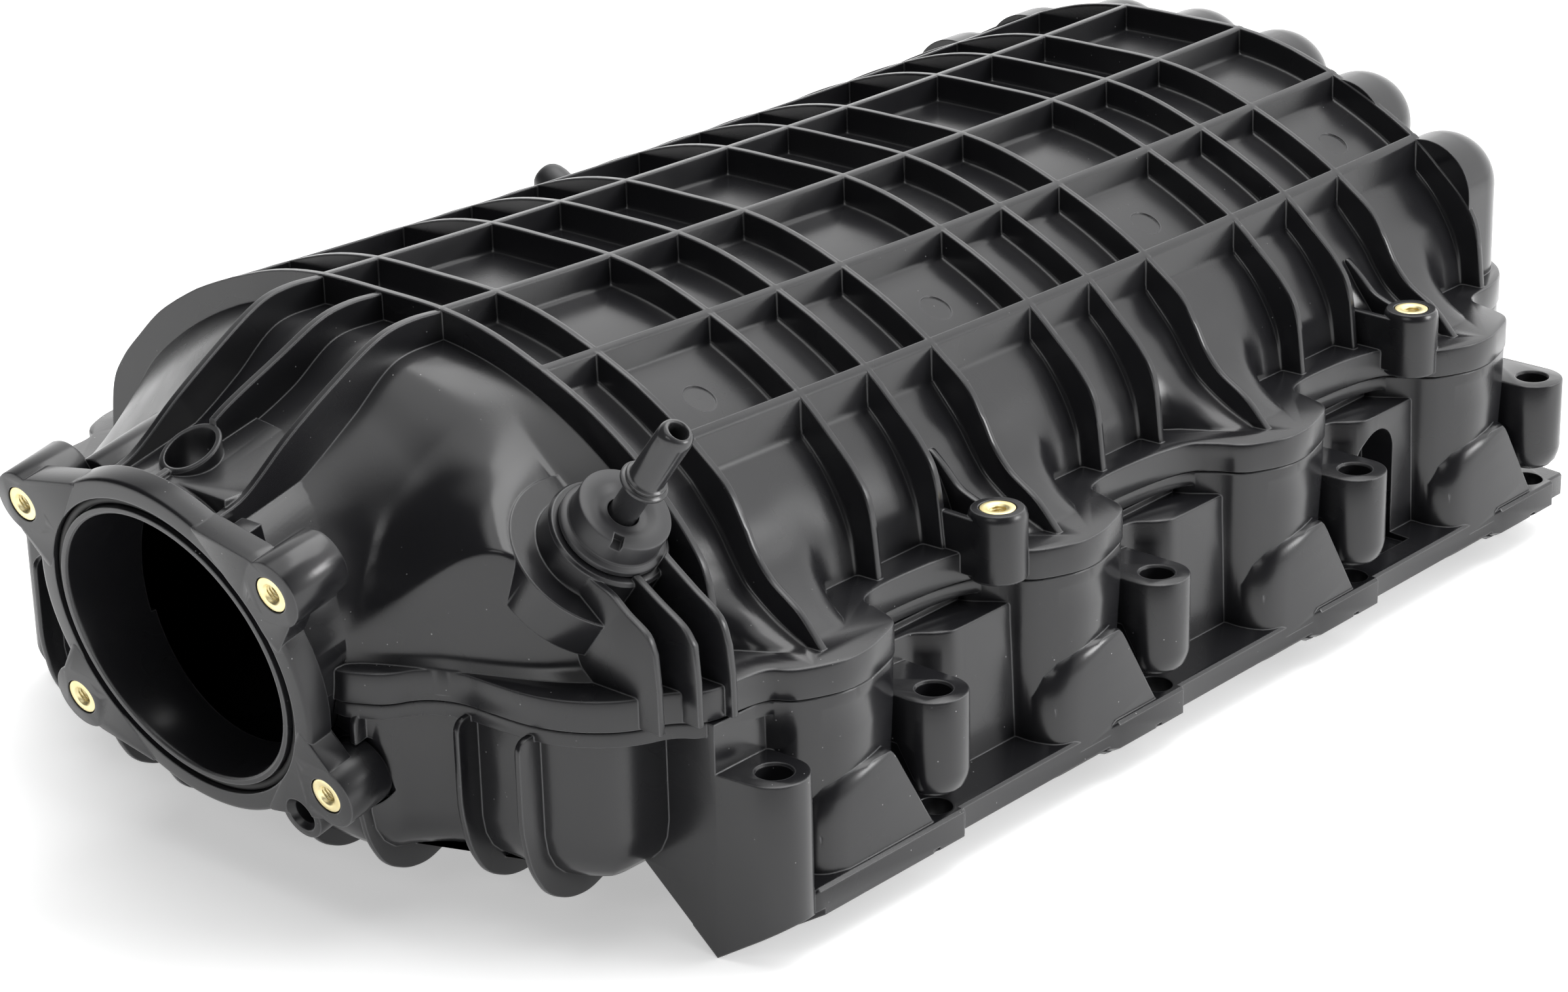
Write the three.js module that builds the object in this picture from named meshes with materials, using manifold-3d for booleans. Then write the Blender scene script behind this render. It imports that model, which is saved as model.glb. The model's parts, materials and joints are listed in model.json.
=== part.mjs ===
// Intake manifold for a V8: welded plastic shells, brass inserts, seals and a vacuum port.
// X runs across the engine, +Y from the throttle to the rear, +Z up. Millimetres.

import * as THREE from "three";
import { mergeVertices } from "three/addons/utils/BufferGeometryUtils.js";
import Module from "manifold-3d";

const wasm = await Module();
wasm.setup();

// ---- Driving dimensions ----

const PITCH = 111.76; // cylinder spacing, which sets port, bolt and lobe spacing
const CYLINDERS = 4; // cylinders on each side
const GAP = 0.3; // clearance between separate pieces
const WALL = 3.2; // plastic wall

const WIDE_CELL = 49.65; // first rib cell of each cylinder
const NARROW_CELL = (PITCH - WIDE_CELL) / 2; // the two cells after it
const RIB = 2.4; // rib thickness
const FRONT_RIB_Y = -22.9;
const REAR_Y = 3 * PITCH + WIDE_CELL; // last transverse rib

const WELD_Z = 76; // plane where the upper and lower shells meet
const FLANGE_T = 10; // thickness of the upper weld flange
const FLANGE_TOP = WELD_Z + FLANGE_T;
const FLANGE_INSET = 0.6; // lower shell outline inside the upper one
const LOBE_Y = 5; // middle of the first runner lobe
const LOBE_X = 164.5; // outermost point of a lobe
const VALLEY_X = 136; // wall between lobes
const REAR_WALL_Y = 414;
const DOME_R = 18.8; // flutes of the rear wall
const DOMES = [[0, 164], [36.4, 162], [72.8, 152.5], [109.2, 136.5]]; // middle and top of each

const CROWN_SAG = 0.727; // rise of the roof per (100 mm)^2 away from its lowest section
const CROWN_LOW_Y = 282.4;

const THROTTLE_CENTRE = new THREE.Vector3(0, -114.9, 84.1);
const THROTTLE_TILT = THREE.MathUtils.degToRad(12.3); // the flange's top leans forward
const BORE_R = 45;
const NECK_R = 52;
const NECK_LENGTH = 46;
const THROTTLE_FLANGE_R = 57;
const THROTTLE_FLANGE_T = 9;
const THROTTLE_BOLT = [55.05, 35.25]; // half spacing of the four throttle screws
const THROTTLE_LOBE_R = 10.8;
const THROTTLE_LOBE_DEPTH = 19;
const SEAL_GROOVE = { inner: 47.8, outer: 51.4, depth: 3.6 };

const PORT_ANGLE = THREE.MathUtils.degToRad(32.6); // slope of the port faces
const PORT_INNER_X = 147.5; // inner, lowest edge of the port face, at z = 0
const RAIL_X = 166; // outer edge of the port rail
const RAIL_TOP = 20.5;
const LEG_FRONT_Y = -42;
const LEG_REAR_Y = 391;
const BOWL_BOTTOM = 22.9;
const BOWL_X = 119.4; // half width of the plenum bottom
const PORT = { inX: 152, outX: 162.5, front: -17, rear: 27 };
const SEAL = { inner: 1.4, width: 2, depth: 2.2, proud: 0.5 };

const BOLT = { x: 160.7, r: 10.8, hole: 5.5, top: 60, bottom: 27 };
const BOLT_Y = [-29.7, 0, 1, 2, 3].map((k, i) => (i === 0 ? k : 42.45 + k * PITCH));
const SLEEVE = { outer: 5.2, inner: 3.6, height: 16 };

const INSERT = { r: 5.7, bore: 2.6, length: 12 };
const COVER_BOSS = { x: 147.8, ys: [89.6, 317.5], r: 8.8, top: 100, bottom: FLANGE_TOP - FLANGE_T };

const VACUUM = new THREE.Vector3(115, -42, 131); // middle of the cap's top face
const VACUUM_TILT = THREE.MathUtils.degToRad(37);
const CAP = { r: 14.5, lip: 16.5, t: 5.5, rise: 4.5 };
const NIPPLE = { r: 4.6, collar: 7.4, bore: 2.9, length: 41 };

const SIDE_PORT = new THREE.Vector3(-124, 187, 117.8); // middle of the left boss's end face
const SIDE_TILT = THREE.MathUtils.degToRad(-62);
const SIDE_TUBE = { r: 6.8, bore: 4.4, collar: 9.3, boss: 11.5, length: 18 };

const SENSOR_RING = { y: -101.8, outer: 9.4, bore: 7.7, bottom: 128, top: 143.6, tilt: THREE.MathUtils.degToRad(26) };

// ---- Solids ----

function solidOf(geometry) {
  const bare = geometry.clone();
  bare.deleteAttribute("normal");
  bare.deleteAttribute("uv");
  const merged = mergeVertices(bare, 1e-4);
  return new wasm.Manifold(
    new wasm.Mesh({
      numProp: 3,
      vertProperties: new Float32Array(merged.attributes.position.array),
      triVerts: new Uint32Array(merged.index.array),
    }),
  );
}

function geometryOf(solid) {
  const mesh = solid.getMesh();
  const geometry = new THREE.BufferGeometry();
  geometry.setAttribute("position", new THREE.BufferAttribute(mesh.vertProperties, 3));
  geometry.setIndex(new THREE.BufferAttribute(mesh.triVerts, 1));
  geometry.computeVertexNormals();
  return geometry;
}

const join = (solids) => solids.reduce((whole, one) => whole.add(one));
const cut = (body, tools) => tools.reduce((rest, tool) => rest.subtract(tool), body);

function box(x0, x1, y0, y1, z0, z1) {
  const geometry = new THREE.BoxGeometry(x1 - x0, y1 - y0, z1 - z0);
  geometry.translate((x0 + x1) / 2, (y0 + y1) / 2, (z0 + z1) / 2);
  return solidOf(geometry);
}

// Flat outline [x, y] raised from z0 to z1.
function prism(outline, z0, z1, matrix) {
  const shape = new THREE.Shape(outline.map(([x, y]) => new THREE.Vector2(x, y)));
  const geometry = new THREE.ExtrudeGeometry(shape, { depth: z1 - z0, bevelEnabled: false });
  geometry.translate(0, 0, z0);
  if (matrix) geometry.applyMatrix4(matrix);
  return solidOf(geometry);
}

// Outline [y, z] raised along X from x0 to x1.
function prismX(outline, x0, x1) {
  const turn = new THREE.Matrix4().makeBasis(
    new THREE.Vector3(0, 1, 0),
    new THREE.Vector3(0, 0, 1),
    new THREE.Vector3(1, 0, 0),
  );
  return prism(outline, x0, x1, turn);
}

// Outline [x, z] raised along Y from y0 to y1.
function prismY(outline, y0, y1) {
  const turn = new THREE.Matrix4().makeBasis(
    new THREE.Vector3(1, 0, 0),
    new THREE.Vector3(0, 0, 1),
    new THREE.Vector3(0, -1, 0),
  );
  return prism(outline, -y1, -y0, turn);
}

// Profile [radius, height] turned round the Z axis, then placed by matrix.
function turned(profile, matrix, segments = 32) {
  const points = profile.map(([r, h]) => new THREE.Vector2(r, h));
  const geometry = new THREE.LatheGeometry(points, segments);
  geometry.rotateX(Math.PI / 2);
  if (matrix) geometry.applyMatrix4(matrix);
  return solidOf(geometry);
}

const rod = (r, z0, z1, matrix, segments = 24) =>
  turned([[0, z0], [r, z0], [r, z1], [0, z1]], matrix, segments);

const ringRod = (inner, outer, z0, z1, matrix, segments = 32) =>
  turned([[inner, z0], [outer, z0], [outer, z1], [inner, z1], [inner, z0]], matrix, segments);

const at = (x, y, z) => new THREE.Matrix4().makeTranslation(x, y, z);

// Closed body through rings that all have the same number of points.
function loft(rings) {
  const count = rings[0].length;
  const positions = rings.flat().flatMap((p) => [p.x, p.y, p.z]);
  const index = [];
  for (let i = 0; i + 1 < rings.length; i += 1) {
    for (let j = 0; j < count; j += 1) {
      const a = i * count + j;
      const b = i * count + ((j + 1) % count);
      index.push(a, b, a + count, b, b + count, a + count);
    }
  }
  for (const [start, flip] of [[0, true], [(rings.length - 1) * count, false]]) {
    for (const [a, b, c] of capTriangles(rings[start / count])) {
      index.push(start + a, start + (flip ? c : b), start + (flip ? b : c));
    }
  }
  const geometry = new THREE.BufferGeometry();
  geometry.setAttribute("position", new THREE.Float32BufferAttribute(positions, 3));
  geometry.setIndex(index);
  return outward(geometry);
}

// Triangles of a ring seen along its own normal, turning with the ring.
function capTriangles(ring) {
  const normal = new THREE.Vector3();
  ring.forEach((p, i) => {
    normal.add(new THREE.Vector3().crossVectors(p, ring[(i + 1) % ring.length]));
  });
  normal.normalize();
  const side = new THREE.Vector3().subVectors(ring[1], ring[0]).normalize();
  const up = new THREE.Vector3().crossVectors(normal, side);
  const flat = ring.map((p) => new THREE.Vector2(p.dot(side), p.dot(up)));
  return THREE.ShapeUtils.triangulateShape(flat, []);
}

function outward(geometry) {
  const solid = solidOf(geometry);
  if (solid.volume() > 0) return solid;
  const index = geometry.index.array;
  for (let i = 0; i < index.length; i += 3) {
    [index[i + 1], index[i + 2]] = [index[i + 2], index[i + 1]];
  }
  return solidOf(geometry);
}

// ---- Roof sections, as half outlines [x, z] from the middle to the weld flange ----

const SKIN_HALF = [
  [0, 154.6], [36, 153.2], [72, 143.2], [102, 126.4], [120.5, 105.5], [126.5, FLANGE_TOP],
  [126.5, WELD_Z],
];
const RIB_HALF = [
  [0, 163.8], [36, 162.4], [76, 150.6], [108, 132.8], [129, 111.5], [134.5, FLANGE_TOP],
  [134.5, WELD_Z],
];
const FOOT_RIB = [
  [110, 130.5], [123, 119.5], [131, 106], [145, 95.5], [155, FLANGE_TOP], [155, WELD_Z],
  [122, WELD_Z], [112, 118],
];
const FOOT_SKIN = [
  [108, 122], [122, 104.5], [134, 93.5], [149, FLANGE_TOP], [149, WELD_Z], [100, WELD_Z],
];

const FRONT_SKIN = [
  {
    y: -46,
    half: [
      [0, 156.5], [34, 153], [70, 137], [100, 111], [119, 94], [127, FLANGE_TOP], [127, WELD_Z],
    ],
  },
  {
    y: -72,
    half: [[0, 147], [24, 144], [48, 127], [68, 104], [84, 92], [93, FLANGE_TOP], [93, WELD_Z]],
  },
  {
    y: -92,
    half: [[0, 140.5], [20, 136.5], [38, 124.5], [48, 109], [52, 96], [53.5, FLANGE_TOP], [53.5, WELD_Z]],
  },
];

function sag(y) {
  return CROWN_SAG * ((y - CROWN_LOW_Y) / 100) ** 2;
}

// The roof rises with sag at the crown and not at all at the weld flange.
function raise([x, z], y) {
  const share = THREE.MathUtils.clamp((z - FLANGE_TOP) / 60, 0, 1);
  return [x, z + share * sag(y)];
}

function sectionRing(half, y) {
  const right = half.map(([x, z]) => new THREE.Vector3(x, y, z));
  const left = half.slice(1).reverse().map(([x, z]) => new THREE.Vector3(-x, y, z));
  return [...right, ...left];
}

// Moves a half outline inward by t, keeping its middle on the centre plane.
function inset(half, t) {
  const last = half.length - 1;
  return half.map(([x, z], i) => {
    const [ax, az] = half[Math.max(i - 1, 0)];
    const [bx, bz] = half[Math.min(i + 1, last)];
    const length = Math.hypot(bx - ax, bz - az);
    const moved = [x + (t * (bz - az)) / length, z - (t * (bx - ax)) / length];
    if (i === 0) return [0, z - t];
    if (i === last) return [x - t, z - t / 2];
    return moved;
  });
}

function roof(half, front, y0, y1, t) {
  const rings = front.map((one) => sectionRing(inset(one.half, t), one.y));
  for (const y of [y0, 100, y1]) {
    rings.push(sectionRing(inset(half.map((p) => raise(p, y)), t), y));
  }
  return loft(rings);
}

// ---- Weld outline ----

// One lobe from its front to its rear, as offsets from its middle.
const LOBE = [
  [-33, VALLEY_X + 3], [-25, 149.5], [-22, 156.5], [-15.5, 160.6], [-6, LOBE_X],
  [4, LOBE_X], [13, 162], [24.5, 158.2], [28, 148], [31, VALLEY_X],
];

const FRONT_OUTLINE = [
  [57, -97], [66.6, -91.7], [71, -82.4], [81.4, -77], [94, -76.8], [108.3, -76],
  [119.8, -72.5], [130.2, -65.3], [136.2, -57.3], [139.5, -48.5], [148.2, -43.5],
];

const REAR_OUTLINE = [[VALLEY_X, 392], [128, 408], [112, REAR_WALL_Y + 4]];

function lobeMiddle(k) {
  return LOBE_Y + k * PITCH;
}

function weldOutline(shrink) {
  const right = [...FRONT_OUTLINE];
  for (let k = 0; k < CYLINDERS; k += 1) {
    for (const [dy, x] of LOBE.slice(k ? 0 : 1)) right.push([x, lobeMiddle(k) + dy]);
  }
  right.push(...REAR_OUTLINE);
  const half = shrunk(right, shrink);
  const left = [...half].reverse().map(([x, y]) => [-x, y]);
  return [...half, ...left];
}

// Moves a right-hand outline inward: the front stretch back, the rear stretch forward.
function shrunk(right, shrink) {
  return right.map(([x, y]) => {
    if (y < LEG_FRONT_Y) return [x - shrink, y + shrink];
    return [x - shrink, y > LEG_REAR_Y ? y - shrink : y];
  });
}

// ---- Throttle flange frame: u across, v up in the plane, w out of the face ----

const throttleFrame = new THREE.Matrix4()
  .makeBasis(
    new THREE.Vector3(1, 0, 0),
    new THREE.Vector3(0, -Math.sin(THROTTLE_TILT), Math.cos(THROTTLE_TILT)),
    new THREE.Vector3(0, -Math.cos(THROTTLE_TILT), -Math.sin(THROTTLE_TILT)),
  )
  .setPosition(THROTTLE_CENTRE);

function onThrottle(u, v) {
  return throttleFrame.clone().multiply(at(u, v, 0));
}

const throttleBolts = [];
for (const v of [-1, 1]) {
  for (const u of [-1, 1]) throttleBolts.push([u * THROTTLE_BOLT[0], v * THROTTLE_BOLT[1]]);
}

const neckTube = (r, w0 = -NECK_LENGTH) => rod(r, w0, -1, throttleFrame, 28);

function throttleFlange() {
  const pieces = [
    rod(THROTTLE_FLANGE_R, -THROTTLE_FLANGE_T, 0, throttleFrame, 28),
    neckTube(NECK_R),
  ];
  for (const [u, v] of throttleBolts) {
    const quarter = [[51, 45], [24, 51.5], [52, 12], [61, 26]];
    const web = quarter.map(([x, y]) => [Math.sign(u) * x, Math.sign(v) * y]);
    pieces.push(rod(THROTTLE_LOBE_R, -THROTTLE_LOBE_DEPTH, 0, onThrottle(u, v), 12));
    pieces.push(prism(web, -THROTTLE_FLANGE_T, 0, throttleFrame));
  }
  pieces.push(rod(8.2, -THROTTLE_FLANGE_T, 0, onThrottle(40, -47.5), 12));
  pieces.push(rod(7.5, -50, -THROTTLE_LOBE_DEPTH, onThrottle(-42, 33), 16));
  return join(pieces);
}

function throttleCuts() {
  const bottom = -SEAL_GROOVE.depth;
  const cuts = [
    rod(BORE_R, -NECK_LENGTH - 20, 1, throttleFrame, 28),
    ringRod(SEAL_GROOVE.inner, SEAL_GROOVE.outer, bottom, 1, throttleFrame, 28),
    rod(4.4, -THROTTLE_FLANGE_T - 1, 1, onThrottle(40, -47.5), 16),
  ];
  for (const [u, v] of throttleBolts) cuts.push(insertPocket(onThrottle(u, v)));
  return cuts;
}

// ---- Brass inserts ----

const insertSolid = (matrix) => ringRod(INSERT.bore, INSERT.r, -INSERT.length, 0, matrix, 14);

const insertPocket = (matrix) => rod(INSERT.r + GAP, -INSERT.length - 2, 1, matrix, 12);

const coverPlaces = [];
for (const side of [1, -1]) {
  for (const y of COVER_BOSS.ys) coverPlaces.push([side * COVER_BOSS.x, y]);
}

function coverBosses() {
  const { r, top, bottom } = COVER_BOSS;
  return coverPlaces.flatMap(([x, y]) => [
    rod(r, bottom + 2, top, at(x, y, 0), 14),
    box(Math.min(x, x * 0.8), Math.max(x, x * 0.8), y - r + 0.3, y - r + 3.1, FLANGE_TOP, top - 2),
  ]);
}

// ---- Upper shell ----

const ribYs = [FRONT_RIB_Y];
for (let k = 0; k < CYLINDERS; k += 1) {
  ribYs.push(k * PITCH, k * PITCH + WIDE_CELL, k * PITCH + WIDE_CELL + NARROW_CELL);
}
ribYs.length -= 1;

const LONG_RIB_X = [25.9, 67.3, 103.6];

function ribGrid() {
  const plates = ribYs.map((y) => box(-150, 150, y - RIB / 2, y + RIB / 2, FLANGE_TOP - 2, 190));
  for (const x of LONG_RIB_X) {
    const start = x > 100 ? 0 : FRONT_RIB_Y;
    for (const side of [1, -1]) {
      plates.push(box(side * x - RIB / 2, side * x + RIB / 2, start, REAR_Y, 110, 190));
    }
  }
  return join(plates).intersect(roof(RIB_HALF, [], FRONT_RIB_Y - 2, REAR_Y + 2, 0));
}

function feet() {
  const pieces = [];
  for (let k = 0; k < CYLINDERS; k += 1) {
    for (const side of [1, -1]) {
      const outline = FOOT_RIB.map(([x, z]) => [side * x, z]);
      pieces.push(prismY(outline, k * PITCH - RIB / 2, k * PITCH + RIB / 2));
      pieces.push(footBulge(side, k, 0));
    }
  }
  return pieces;
}

// Where a runner turns down to its port the roof swells out over the weld flange.
function footBulge(side, k, t) {
  const reaches = [[-24, 0.55], [-13, 0.97], [13, 0.97], [25, 0.55]];
  return loft(reaches.map(([dy, reach]) => {
    const y = lobeMiddle(k) + dy * (1 - t / 25);
    return FOOT_SKIN.map(([x, z]) => new THREE.Vector3(side * (100 + (x - 100 - t) * reach), y, z - t));
  }));
}

// Scalloped rear wall: a row of domed columns behind the last rib.
function rearDomes() {
  return DOMES.flatMap(([x, top]) => (x ? [x, -x] : [0]).map((place) => {
    const dome = [[0, WELD_Z], [DOME_R, WELD_Z], [DOME_R, top - 14], [DOME_R * 0.75, top - 5], [0, top]];
    const back = REAR_WALL_Y - DOME_R;
    return join([
      turned(dome, at(place, back, 0), 14),
      box(place - DOME_R + 0.4, place + DOME_R - 0.4, REAR_Y - 1, back, WELD_Z, top - 14),
    ]);
  }));
}

// Upright ring whose top face leans with the crest of the rib that it stands on.
function sensorRing() {
  const { y, outer, bottom, top, tilt } = SENSOR_RING;
  const above = box(-20, 20, -20, 20, 0, 30);
  const lean = at(0, y, top).multiply(new THREE.Matrix4().makeRotationX(tilt));
  return cut(rod(outer, bottom, top + 10, at(0, y, 0), 16), [above.transform(lean.elements)]);
}

// Ribs on the neck: a straight top edge from the roof to the throttle flange.
function neckRibs() {
  const outline = [[-118, 122], [-118, 140.5], [-112, 141], [-24, 170], [-24, 140], [-90, 122]];
  const pieces = [prismX(outline, -RIB / 2, RIB / 2)];
  const side = outline.map(([y, z]) => [y, z - (z > 130 && y < -100 ? 4 : 0)]);
  for (const x of [-25.9, 25.9]) pieces.push(prismX(side, x - RIB / 2, x + RIB / 2));
  pieces.push(sensorRing());
  return pieces;
}

// Fins under the vacuum port run down to the weld flange.
function shoulderFins() {
  const fins = [];
  [[-57, 142], [-46, 146.5], [-35, 150.5]].forEach(([y, reach]) => {
    const outline = [
      [96, WELD_Z + 1], [96, 118], [112, 123], [reach - 14, 112], [reach - 3, 105],
      [reach, 98], [reach, WELD_Z],
    ];
    fins.push(prismY(outline, y - RIB / 2, y + RIB / 2));
  });
  return fins;
}

const vacuumFrame = new THREE.Matrix4().makeRotationY(VACUUM_TILT).setPosition(VACUUM);

function vacuumBoss() {
  return rod(18.5, -34, -CAP.t - GAP, vacuumFrame, 20);
}

const sideFrame = new THREE.Matrix4().makeRotationY(SIDE_TILT).setPosition(SIDE_PORT);

function upperShell() {
  const outside = join([
    roof(SKIN_HALF, [...FRONT_SKIN].reverse(), FRONT_RIB_Y, REAR_Y, 0),
    prism(weldOutline(0), WELD_Z, FLANGE_TOP),
    ribGrid(),
    throttleFlange(),
    vacuumBoss(),
    rod(SIDE_TUBE.boss, -24, 0, sideFrame, 16),
    ...neckRibs(),
    ...feet(),
    ...rearDomes(),
    ...shoulderFins(),
    ...coverBosses(),
  ]);
  const inside = [
    roofCavity(),
    rearCavity(),
    ...throttleCuts(),
    ...coverPlaces.map(([x, y]) => insertPocket(at(x, y, COVER_BOSS.top))),
    rod(10, -40, 0, vacuumFrame, 20),
    rod(CAP.lip + GAP, -CAP.t - GAP, 20, vacuumFrame, 20),
    ...footCavities(),
    rod(SENSOR_RING.bore, SENSOR_RING.bottom - 3, SENSOR_RING.top + 12, at(0, SENSOR_RING.y, 0), 12),
    rod(SIDE_TUBE.r + GAP, -40, 1, sideFrame, 16),
    rod(SIDE_TUBE.collar + GAP, 0, SIDE_TUBE.length + 4, sideFrame, 16),
    box(-200, 200, -86, 450, WELD_Z - 80, WELD_Z),
  ];
  return cut(outside, inside);
}

function roofCavity() {
  const front = [...FRONT_SKIN].reverse().slice(1);
  return roof(SKIN_HALF, front, FRONT_RIB_Y, REAR_Y - WALL, WALL);
}

function footCavities() {
  const cavities = [];
  for (let k = 0; k < CYLINDERS; k += 1) cavities.push(footBulge(1, k, WALL), footBulge(-1, k, WALL));
  return cavities;
}

function rearCavity() {
  return box(-94, 94, REAR_Y - 20, REAR_WALL_Y - 21, WELD_Z - 1, 104);
}

// ---- Lower shell ----

function portFaceZ(x) {
  return (x - PORT_INNER_X) * Math.tan(PORT_ANGLE);
}

const mirrored = (outline, side) => outline.map(([x, z]) => [side * x, z]);

function legs(side) {
  const outline = [
    [BOWL_X - 20, BOWL_BOTTOM], [BOWL_X, BOWL_BOTTOM], [PORT_INNER_X, 0],
    [RAIL_X, portFaceZ(RAIL_X)], [RAIL_X, RAIL_TOP], [VALLEY_X + 3, RAIL_TOP + 2],
    [VALLEY_X, WELD_Z - 6], [BOWL_X - 20, WELD_Z - 6],
  ];
  return prismY(mirrored(outline, side), LEG_FRONT_Y, LEG_REAR_Y);
}

function lobeWall(side, k) {
  const outline = LOBE.map(([dy, x]) => [side * (x - FLANGE_INSET), lobeMiddle(k) + dy]);
  const inner = side * (VALLEY_X - 6);
  outline.push([inner, lobeMiddle(k) + 31], [inner, lobeMiddle(k) - 33]);
  return prism(outline, RAIL_TOP - 2.5, WELD_Z - GAP);
}

// D-shaped bulge over each port, leaning out towards the rail.
function hood(side, k) {
  const ring = (x, y0, y1, z) => [
    [140, y0], [x - 3, y0], [x, y0 + 7], [x, y1], [140, y1],
  ].map(([px, dy]) => new THREE.Vector3(side * px, lobeMiddle(k) + dy, z));
  return loft([ring(167.5, -21, 30, RAIL_TOP - 4), ring(166, -21, 23, 35), ring(163, -12, 15, 48)]);
}

// The front boss runs to the port face and has a sharp front edge; the others stop above the rail.
function boltBoss(side, y, i) {
  const { x, r, top, bottom } = BOLT;
  if (i > 0) {
    const web = [side * 130, side * x].sort((a, b) => a - b);
    return join([
      rod(r, bottom, top, at(side * x, y, 0), 14),
      box(web[0], web[1], y - r, y + r, bottom, top),
    ]);
  }
  const outline = [[side * 138, LEG_FRONT_Y], [side * 149, LEG_FRONT_Y]];
  for (let a = -80; a <= 90; a += 17) {
    const angle = THREE.MathUtils.degToRad(a);
    outline.push([side * (x + r * Math.cos(angle)), y + r * Math.sin(angle)]);
  }
  outline.push([side * 138, y + r]);
  return prism(outline, 0, top);
}

// Upright wall over the front bolt boss, from the leg's front up to the weld.
function frontShoulder(side) {
  const xs = [side * 128, side * 149].sort((a, b) => a - b);
  return box(xs[0], xs[1], LEG_FRONT_Y, LEG_FRONT_Y + 24, RAIL_TOP - 2.5, WELD_Z - GAP);
}

function valleyBlock(side, k) {
  const y0 = lobeMiddle(k) + 70;
  const xs = [side * 130, side * 150].sort((a, b) => a - b);
  return box(xs[0], xs[1], y0, y0 + 24, RAIL_TOP - 4, 68);
}

function railPad(side, k) {
  const y0 = lobeMiddle(k) + 8;
  const outline = [
    [160, portFaceZ(160) - 2.5], [168.5, portFaceZ(168.5) - 2.5], [168.5, 21], [160, 21],
  ];
  return prismY(mirrored(outline, side), y0, y0 + 36);
}

function bowlRing(shrink, z, limit) {
  const half = shrunk([...FRONT_OUTLINE, [VALLEY_X, 0], ...REAR_OUTLINE], shrink);
  const right = half.map(([x, y]) => new THREE.Vector3(Math.min(x, limit), y, z));
  const left = [...right].reverse().map((p) => new THREE.Vector3(-p.x, p.y, z));
  return [...right, ...left];
}

function bowl() {
  const limit = VALLEY_X - 3;
  return loft([
    bowlRing(16, BOWL_BOTTOM, limit - 13), bowlRing(7, BOWL_BOTTOM + 4, limit - 4),
    bowlRing(3, BOWL_BOTTOM + 13, limit), bowlRing(3, WELD_Z - 2, limit),
  ]);
}

function plenumCavity() {
  return loft([
    bowlRing(20, BOWL_BOTTOM + WALL, 108), bowlRing(10.5, BOWL_BOTTOM + WALL + 5, 114),
    bowlRing(6.5, BOWL_BOTTOM + 16, 114), bowlRing(6.5, WELD_Z + 1, 114),
  ]);
}

function bowlFins() {
  return [[28, -98], [57, -96], [83, -81], [108, -80]].flatMap(([x, front]) => {
    const outline = [
      [front, WELD_Z - 3], [front, 42], [front + 4, 27], [front + 12, 18], [front + 24, 16],
      [front + 44, 24], [front + 44, WELD_Z - 3],
    ];
    return [x, -x].map((place) => prismX(outline, place - RIB / 2, place + RIB / 2));
  });
}

// A runner's way down: wide under the weld plane, then narrowing to the port.
function portChannel(side, k) {
  const middle = lobeMiddle(k);
  const upper = [[121, 36], [154.5, 36], [154.5, WELD_Z + 1], [121, WELD_Z + 1]];
  const lower = [
    [121, 44], [121, 30], [PORT.inX, 4.5], [PORT.inX, -9], [PORT.outX, -9], [PORT.outX, 32], [155, 44],
  ];
  return join([
    prismY(mirrored(upper, side), middle + PORT.front + 1, middle + PORT.rear - 5),
    prismY(mirrored(lower, side), middle + PORT.front, middle + PORT.rear),
  ]);
}

function lowerShell() {
  const pieces = [prism(weldOutline(FLANGE_INSET), WELD_Z - 5, WELD_Z - GAP), bowl(), ...bowlFins()];
  for (const side of [1, -1]) {
    pieces.push(legs(side), frontShoulder(side));
    for (let k = 0; k < CYLINDERS; k += 1) {
      pieces.push(lobeWall(side, k), hood(side, k), railPad(side, k));
      if (k + 1 < CYLINDERS) pieces.push(valleyBlock(side, k));
    }
    BOLT_Y.forEach((y, i) => pieces.push(boltBoss(side, y, i)));
  }
  return cut(join(pieces), lowerCuts());
}

function lowerCuts() {
  const cuts = [
    plenumCavity(),
    neckTube(NECK_R + GAP + 0.1, -NECK_LENGTH - 6),
    rod(THROTTLE_FLANGE_R + 2, -THROTTLE_FLANGE_T - 1, 40, throttleFrame, 28),
  ];
  for (const [u, v] of throttleBolts.filter(([, height]) => height < 0)) {
    const depth = THROTTLE_LOBE_DEPTH + 1;
    cuts.push(rod(THROTTLE_LOBE_R + 1, -depth, 0, onThrottle(u, v), 10));
  }
  for (const side of [1, -1]) {
    for (let k = 0; k < CYLINDERS; k += 1) {
      cuts.push(portChannel(side, k), sealBody(side, k, 0, SEAL.depth + GAP, 1));
    }
    for (const y of BOLT_Y) {
      cuts.push(rod(BOLT.hole, -5, BOLT.top + 1, at(side * BOLT.x, y, 0), 12));
    }
    cuts.push(underFace(side));
  }
  return cuts;
}

// The space under the sloped port face, which trims the front boss.
function underFace(side) {
  const outline = [
    [PORT_INNER_X, 0], [200, portFaceZ(200)], [200, -40], [BOWL_X, -40], [BOWL_X, BOWL_BOTTOM],
  ];
  return prismY(mirrored(outline, side), LEG_FRONT_Y - 5, BOLT_Y[0] + BOLT.r + 1);
}

// ---- Seals and sleeves ----

function faceFrame(side, y) {
  const slope = new THREE.Vector3(side * Math.cos(PORT_ANGLE), 0, Math.sin(PORT_ANGLE));
  const out = new THREE.Vector3(side * Math.sin(PORT_ANGLE), 0, -Math.cos(PORT_ANGLE));
  const along = new THREE.Vector3().crossVectors(out, slope);
  return new THREE.Matrix4().makeBasis(slope, along, out).setPosition(side * PORT_INNER_X, y, 0);
}

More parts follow.
